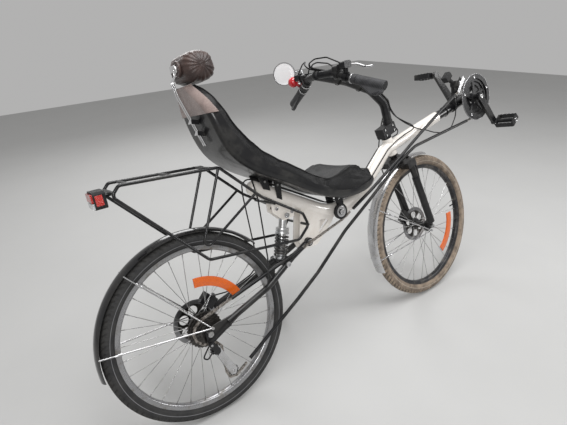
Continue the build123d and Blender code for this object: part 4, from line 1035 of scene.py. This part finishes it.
def shockCoil():
    low = Vector((coilSizes["low"][0], 0, coilSizes["low"][1]))
    line = (Vector((coilSizes["high"][0], 0, coilSizes["high"][1])) - low).normalized()
    across = line.cross(Vector((0, 1, 0)))
    points = []
    steps = int(coilSizes["turns"] * 16)
    for step in range(steps + 1):
        turn = math.tau * coilSizes["turns"] * step / steps
        along = coilSizes["from"] + (coilSizes["to"] - coilSizes["from"]) * step / steps
        points.append(leanPlace @ (low + line * along + across * (coilSizes["radius"] * math.cos(turn))
                                   + Vector((0, coilSizes["radius"] * math.sin(turn), 0))))
    coil = seamRoute("shockCoil", points, coilSizes["wire"])
    smoothed(coil, 60)
    dressed(coil, coilBlack, "frame")
    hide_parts("shock_spring")
    for name, along, radius, height in (("damperBody", 0.021, 0.0145, 0.086), ("topCollar", 0.1048, 0.0262, 0.006),
                                        ("lowCollar", 0.1165, 0.0245, 0.010)):
        collar = turned("collar", 40, radius, height, radius * 0.2, 0.001, 0.0012)
        fitted(collar, [facing(low + line * along, line)], name, shockSilver, "frame", "shock_silver")


shockCoil()
print("stage: shock")

# Bolts and nuts: each kind modelled once, and copied to its places in the upright drawing
boltKinds = {
    # sides, radius, height, inset, sink
    "socketBolt": (16, 0.0065, 0.0045, 0.0028, 0.0022), "smallBolt": (14, 0.0042, 0.0030, 0.0018, 0.0015),
    "hexNut": (6, 0.0105, 0.0070, 0.0045, 0.0015), "pivotCap": (24, 0.0105, 0.0035, 0.0040, 0.0015),
}
stemPlace = [tuple(onSteerer(height, forward, side)) for height, forward, side in
             ((0.4875, -0.014, 0), (0.5095, -0.014, 0), (0.4875, 0.036, 0), (0.5095, 0.036, 0))]
both, right = (-1, 1), (-1,)
boltPlaces = [
    # piece, kind, body, place, sides, spots (x, y outward, z), material, slot
    ("shockBolts", "socketBolt", "frame", leanPlace, both, [(0.368, 0.019, 0.310), (0.430, 0.019, 0.282)],
     polished, "steel"),
    ("shockPins", "pivotCap", "frame", leanPlace, both, [(0.403, 0.0242, 0.276), (0.352, 0.0542, 0.108)],
     polished, "steel"),
    ("swingPivots", "pivotCap", "frame", leanPlace, both, [(0.472, 0.0382, 0.150)], polished, "steel"),
    ("seatBolts", "smallBolt", "frame", leanPlace, both,
     [(0.335, 0.0321, 0.420), (0.384, 0.0321, 0.396), (0.648, 0.0321, 0.272), (0.652, 0.0321, 0.236)],
     spokeSteel, "steel"),
    ("rearNuts", "hexNut", "frame", leanPlace, both, [(0, 0.0762, 0)], spokeSteel, "steel"),
    ("frontNuts", "hexNut", "fork", frontWheelPlace, both, [(0, 0.0587, 0)], spokeSteel, "steel"),
    ("stemBolts", "smallBolt", "fork", steerPlace, both, [(x, 0.0220, z) for x, y, z in stemPlace],
     spokeSteel, "steel"),
    ("crankBolts", "pivotCap", "crankset", leanPlace, both, [(bbSpot.x, 0.0861, bbSpot.z)], spokeSteel, "steel"),
    ("idlerBolt", "pivotCap", "frame", leanPlace, right, [(idlerSpot.x, 0.0572, idlerSpot.z)], polished, "steel"),
    ("mechBolts", "smallBolt", "frame", leanPlace, right,
     [(0.012, 0.0692, -0.074), (0.056, 0.0552, -0.178), (-0.006, 0.0797, -0.038)], polished, "silver"),
]
for name, kind, body, place, signs, spots, material, slot in boltPlaces:
    sides, radius, height, inset, sink = boltKinds[kind]
    places = [facing((x, sign * y, z), (0, sign, 0), place) for x, y, z in spots for sign in signs]
    fitted(turned(kind, sides, radius, height, inset, sink, 0.0006), places, name, material, body, slot)
ringBoltSizes = {"circle": 0.091, "side": -0.0606, "count": 5, "first": 0.3}
ringBolts = []
for index in range(ringBoltSizes["count"]):
    turn = math.tau * (index + ringBoltSizes["first"]) / ringBoltSizes["count"]
    ringBolts.append(facing((bbSpot.x + ringBoltSizes["circle"] * math.cos(turn), ringBoltSizes["side"],
                             bbSpot.z + ringBoltSizes["circle"] * math.sin(turn)), (0, -1, 0)))
fitted(turned("ringBolt", 16, 0.0055, 0.0022, 0.0020, 0.0012, 0.0005), ringBolts, "chainringBolts", polished,
       "crankset", "ring_black")
print("stage: bolts")

# Idler: silver cover ring and a toothed edge
idlerRing = sideRing("idlerFace", 0.0215, 0.0105, 0.0016, 64, bevel=0.0005)
stood(idlerRing, (idlerSpot.x, -0.0544, idlerSpot.z), leanPlace, polished, "frame")
idlerEdge = sideRing("idlerTeeth", 0.0285, 0.0225, 0.0076, 60, teeth=0.0012, bevel=0.0004)
stood(idlerEdge, (idlerSpot.x, chainLine, idlerSpot.z), leanPlace, blackPlastic, "frame")

# Tail light: ribbed red and clear lenses in the dark housing
tailSizes = {
    # name: (middle, size, material)
    "tailRed": ((-0.2165, 0, 0.5145), (0.009, 0.072, 0.024), redLens),
    "tailClear": ((-0.2165, 0, 0.4915), (0.009, 0.072, 0.016), clearLens),
    "tailSideRight": ((-0.2005, -0.0423, 0.5065), (0.020, 0.0035, 0.030), redLens),
    "tailSideLeft": ((-0.2005, 0.0423, 0.5065), (0.020, 0.0035, 0.030), redLens),
}
for name, (middle, size, material) in tailSizes.items():
    lens = added(bpy.ops.mesh.primitive_cube_add, name, size=1.0, location=middle)
    lens.scale = size
    settle(lens, Matrix.Identity(4))
    edited(lens, lambda face: True, lambda: bpy.ops.mesh.subdivide(number_cuts=5))
    edited(lens, lambda face: abs(face.normal.x) > 0.9 or abs(face.normal.y) > 0.9,
           lambda: bpy.ops.mesh.inset(thickness=0.0003, depth=0.0004, use_individual=True))
    cornered(lens, 0.0006)
    settle(lens, leanPlace)
    smoothed(lens)
    dressed(lens, material, "frame")
print("stage: tail light")

# Headrest's tilting joint: a chrome hub in a leather disc on its back, where the rods meet it
hubSizes = {"disc": 0.024, "discHeight": 0.008, "hub": 0.0125, "hubHeight": 0.008, "back": 0.1255, "left": -0.024}
for name, radius, height, lift, material, slot in (
        ("headrestDisc", hubSizes["disc"], hubSizes["discHeight"], 0.0, headLeather, "headrest_leather"),
        ("headrestHub", hubSizes["hub"], hubSizes["hubHeight"], 0.0065, chrome, "bright")):
    knob = turned("knob", 32, radius, height, radius * 0.45, height * 0.25, height * 0.3)
    spot = (hubSizes["back"] - lift, hubSizes["left"], headrestSizes["middle"][2])
    fitted(knob, [facing(spot, (-1, 0, 0))], name, material, "frame", slot, 50)

# Grips: the CAD grips softened into one flared rubber shape, with a silver lock ring
gripSizes = {"voxel": 0.0022, "rounds": 10}
armPoints = [Vector(spot) for spot in ((0.655, 0, 0.742), (0.672, 0.070, 0.738), (0.692, 0.130, 0.708),
                                       (0.724, 0.260, 0.657))]
gripWay = (armPoints[3] - armPoints[2]).normalized()
for side, sign in (("left", 1), ("right", -1)):
    grip = copyOf(side + "_grip", side + "GripRubber")
    remeshed(grip, gripSizes["voxel"])
    applyModifier(grip, "SMOOTH", factor=0.5, iterations=gripSizes["rounds"])
    rounded(grip)
    dressed(grip, gripRubber, "fork")
    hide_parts(side + "_grip")
    way = Vector((gripWay.x, sign * gripWay.y, gripWay.z))
    for name, along, radius, width, material in (("LockRing", 0.008, 0.0178, 0.0055, steeredSilver),
                                                 ("SeamRing", 0.030, 0.0177, 0.0016, barBlack),
                                                 ("BarPlug", 0.1403, 0.0150, 0.0025, barBlack)):
        spot = Vector((armPoints[2].x, sign * armPoints[2].y, armPoints[2].z)) + way * along
        ring = turned("ring", 36, radius, width, radius * 0.15, 0.0004, 0.0005)
        fitted(ring, [facing(spot, way, steerPlace)], side.capitalize() + name, material, "fork",
               "silver" if "Lock" in name else "black_plastic", 50)
print("stage: grips")

# Pedals: steel pins and end caps on the moulded cages, which turn with them
pedalFacts = {
    # body: (crank's angle, side, the pedal's own tilt)
    "right_pedal": (-53.0, -1, -40.0), "left_pedal": (-53.0, 1, 8.0),
}
pedalSizes = {"crank": 0.170, "start": 0.093, "length": 0.092, "thick": 0.012, "pinX": (-0.0278, 0.0278),
              "pinY": (-0.036, -0.018, 0.0, 0.018, 0.036), "capY": 0.0452}
for name, (angle, sign, tilt) in pedalFacts.items():
    turn = math.radians(angle)
    eyeSpot = bbSpot + Vector((-sign * math.cos(turn), 0, -sign * math.sin(turn))) * pedalSizes["crank"]
    middle = sign * (pedalSizes["start"] + pedalSizes["length"] / 2)
    own = (leanPlace @ Matrix.Translation((eyeSpot.x, middle, eyeSpot.z))
           @ Matrix.Rotation(math.radians(tilt), 4, "Y"))
    places = []
    for x in pedalSizes["pinX"]:
        for y in pedalSizes["pinY"]:
            for up in (-1, 1):
                places.append(own @ Matrix.Translation((x, y, up * pedalSizes["thick"]))
                              @ Matrix.Rotation(0.0 if up > 0 else math.pi, 4, "X"))
    fitted(turned("pin", 8, 0.0021, 0.0030, bevel=0.0006), places, name.replace("_p", "P") + "Pins", polished,
           name, "steel")
    cap = turned("cap", 24, 0.0102, 0.004, 0.003, 0.0012, 0.0008)
    place = own @ Matrix.Translation((0, sign * pedalSizes["capY"], 0)) @ Matrix.Rotation(-sign * math.pi / 2,
                                                                                          4, "X")
    fitted(cap, [place], name.replace("_p", "P") + "Cap", polished, name, "steel")
print("stage: pedals")

# Cables over the head tube: from the riser's foot to the boom and to the main tube
crossingSizes = {"radius": 0.0025, "turnFrom": (1.040, 0, 0.560), "turnTo": (1.120, 0, 0.470)}
crossings = {
    "boomCable": [(1.0205, -0.009, 0.568), (1.0290, -0.014, 0.532), (1.058, -0.040, 0.492), (1.100, -0.046, 0.466),
                  (1.150, -0.029, 0.449), (1.158, -0.029, 0.4466)],
    "rightCable": [(1.0205, -0.003, 0.568), (1.0265, -0.010, 0.535), (1.050, -0.042, 0.500),
                   (1.095, -0.052, 0.474),
                   (1.110, -0.046, 0.456), (1.078, -0.024, 0.441), (1.070, -0.025, 0.439)],
    "leftCable": [(1.0205, 0.003, 0.568), (1.0265, 0.012, 0.535), (1.050, 0.042, 0.500), (1.095, 0.052, 0.474),
                  (1.110, 0.046, 0.456), (1.078, 0.024, 0.441), (1.070, 0.025, 0.439)],
}
for name, points in crossings.items():
    drawn = [steerPlace @ Vector(points[0]), steerPlace @ Vector(points[1])]
    drawn += [leanPlace @ Vector(point) for point in points[2:]]
    cable = seamRoute(name, drawn, crossingSizes["radius"])
    smoothed(cable, 60)
    dressed(cable, tubePlastic, None)
    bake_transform(cable)
tieRings = [
    # body, place, spot, direction, radius
    ("fork", steerPlace, (0.760, 0.0, 0.7145), (0.95, 0, -0.27), 0.0205),
    ("fork", steerPlace, (0.870, 0.0, 0.6750), (0.92, 0, -0.40), 0.0205),
    ("frame", leanPlace, (1.380, 0.0, 0.4849), (0.977, 0, 0.212), 0.0226),
]
for count, (body, place, spot, way, radius) in enumerate(tieRings):
    tie = sideRing("tie", radius + 0.0012, radius - 0.0008, 0.004, 40)
    tie.rotation_euler = (0, 0, 0)
    settle(tie, Matrix.Identity(4))
    fitted(tie, [facing(spot, way, place)], "cableTie%d" % count, blackPlastic, body, "black_plastic")
print("stage: cables")

# Fender stays: a silver clamp near the fender's edge on each stay
stayClamps = {
    # fender: (body, place, eyelet in the side view, its y, ends on the edge)
    "rear": ("frame", leanPlace, (0.012, 0.016), 0.0775, ((-0.197, 0.270), (-0.329, 0.052))),
    "front": ("fork", steerPlace, (1.129, -0.018), 0.062, ((0.845, 0.160), (0.812, -0.054))),
}
for name, (body, place, eyelet, eyeletY, ends) in stayClamps.items():
    places = []
    for x, z in ends:
        for sign in (-1, 1):
            start, end = Vector((eyelet[0], sign * eyeletY, eyelet[1])), Vector((x, sign * 0.0285, z))
            places.append(facing(end.lerp(start, 0.13), start - end, place))
    fitted(turned("clamp", 12, 0.0048, 0.022, 0.0012, 0.001, 0.001), places, name + "StayClamps",
           polished if body == "frame" else steeredSilver, body, "silver")

# Two-tone CAD pieces: faces picked by their place in the upright drawing
splits = {
    # node: (second material, place, whether a point of the upright drawing takes it)
    "brake_levers": (steeredSilver, steerPlace, lambda p: p.x > 0.6985),
    "bell": (blackPlastic, steerPlace, lambda p: (p - armPoints[2]).length < 0.024),
    "rear_derailleur": (blackPaint, leanPlace, lambda p: p.y < -0.0585 and p.z > -0.09 and p.x < 0.03),
    "headrest_rods": (blackPlastic, leanPlace, lambda p: 0.608 < p.z < 0.680 and abs(p.y) > 0.0105),
    "front_derailleur": (polished, leanPlace, lambda p: p.y < -0.0505),
    "rear_shock": (blackPaint, leanPlace, lambda p: p.z < 0.118 and p.x < 0.372),
}
for name, (material, place, chosen) in splits.items():
    mesh = nodes[name].data
    mesh.materials.append(material)
    back = place.inverted()
    for face in mesh.polygons:
        if chosen(back @ face.center):
            face.material_index = 1
print("stage: two-tone pieces")

# Floor and light
floorSizes = {"side": 14.0, "tone": (0.44, 0.44, 0.435), "pale": (0.48, 0.48, 0.475)}
floor = added(bpy.ops.mesh.primitive_plane_add, "floor", size=floorSizes["side"])


def floorPattern(w):
    mottle = w.cloudy(w.placed(), 2.2, 6.0, 0.6)
    return {"Base Color": mottle.blendOf(floorSizes["tone"], floorSizes["pale"]), "Roughness": mottle * 0.1 + 0.78}


floor.data.materials.append(finish("paleFloor", {}, floorPattern))

lamps = {
    # name: (place, aims at, side, watts)
    "skyLight": ((0.2, -0.6, 3.6), (0.0, 0.0, 0.4), 2.6, 105.0),
    "nearLight": ((-2.4, -3.0, 2.4), (0.0, 0.0, 0.5), 1.2, 55.0),
    "frontLight": ((3.0, -2.2, 1.8), (0.2, 0.0, 0.5), 1.0, 34.0),
    "backLight": ((0.4, 3.0, 2.4), (0.0, 0.0, 0.5), 1.6, 36.0),
}
for name, (spot, aim, side, watts) in lamps.items():
    lamp = bpy.data.objects.new(name, bpy.data.lights.new(name, "AREA"))
    lamp.data.shape = "SQUARE"
    lamp.data.size = side
    lamp.data.energy = watts
    lamp.location = spot
    lamp.rotation_euler = (Vector(aim) - Vector(spot)).to_track_quat("-Z", "Y").to_euler()
    bpy.context.collection.objects.link(lamp)
world = bpy.data.worlds.new("studio")
world.use_nodes = True
world.node_tree.nodes["Background"].inputs["Color"].default_value = (0.89, 0.885, 0.88, 1.0)
world.node_tree.nodes["Background"].inputs["Strength"].default_value = 0.5
bpy.context.scene.world = world
print("stage: floor and lights")
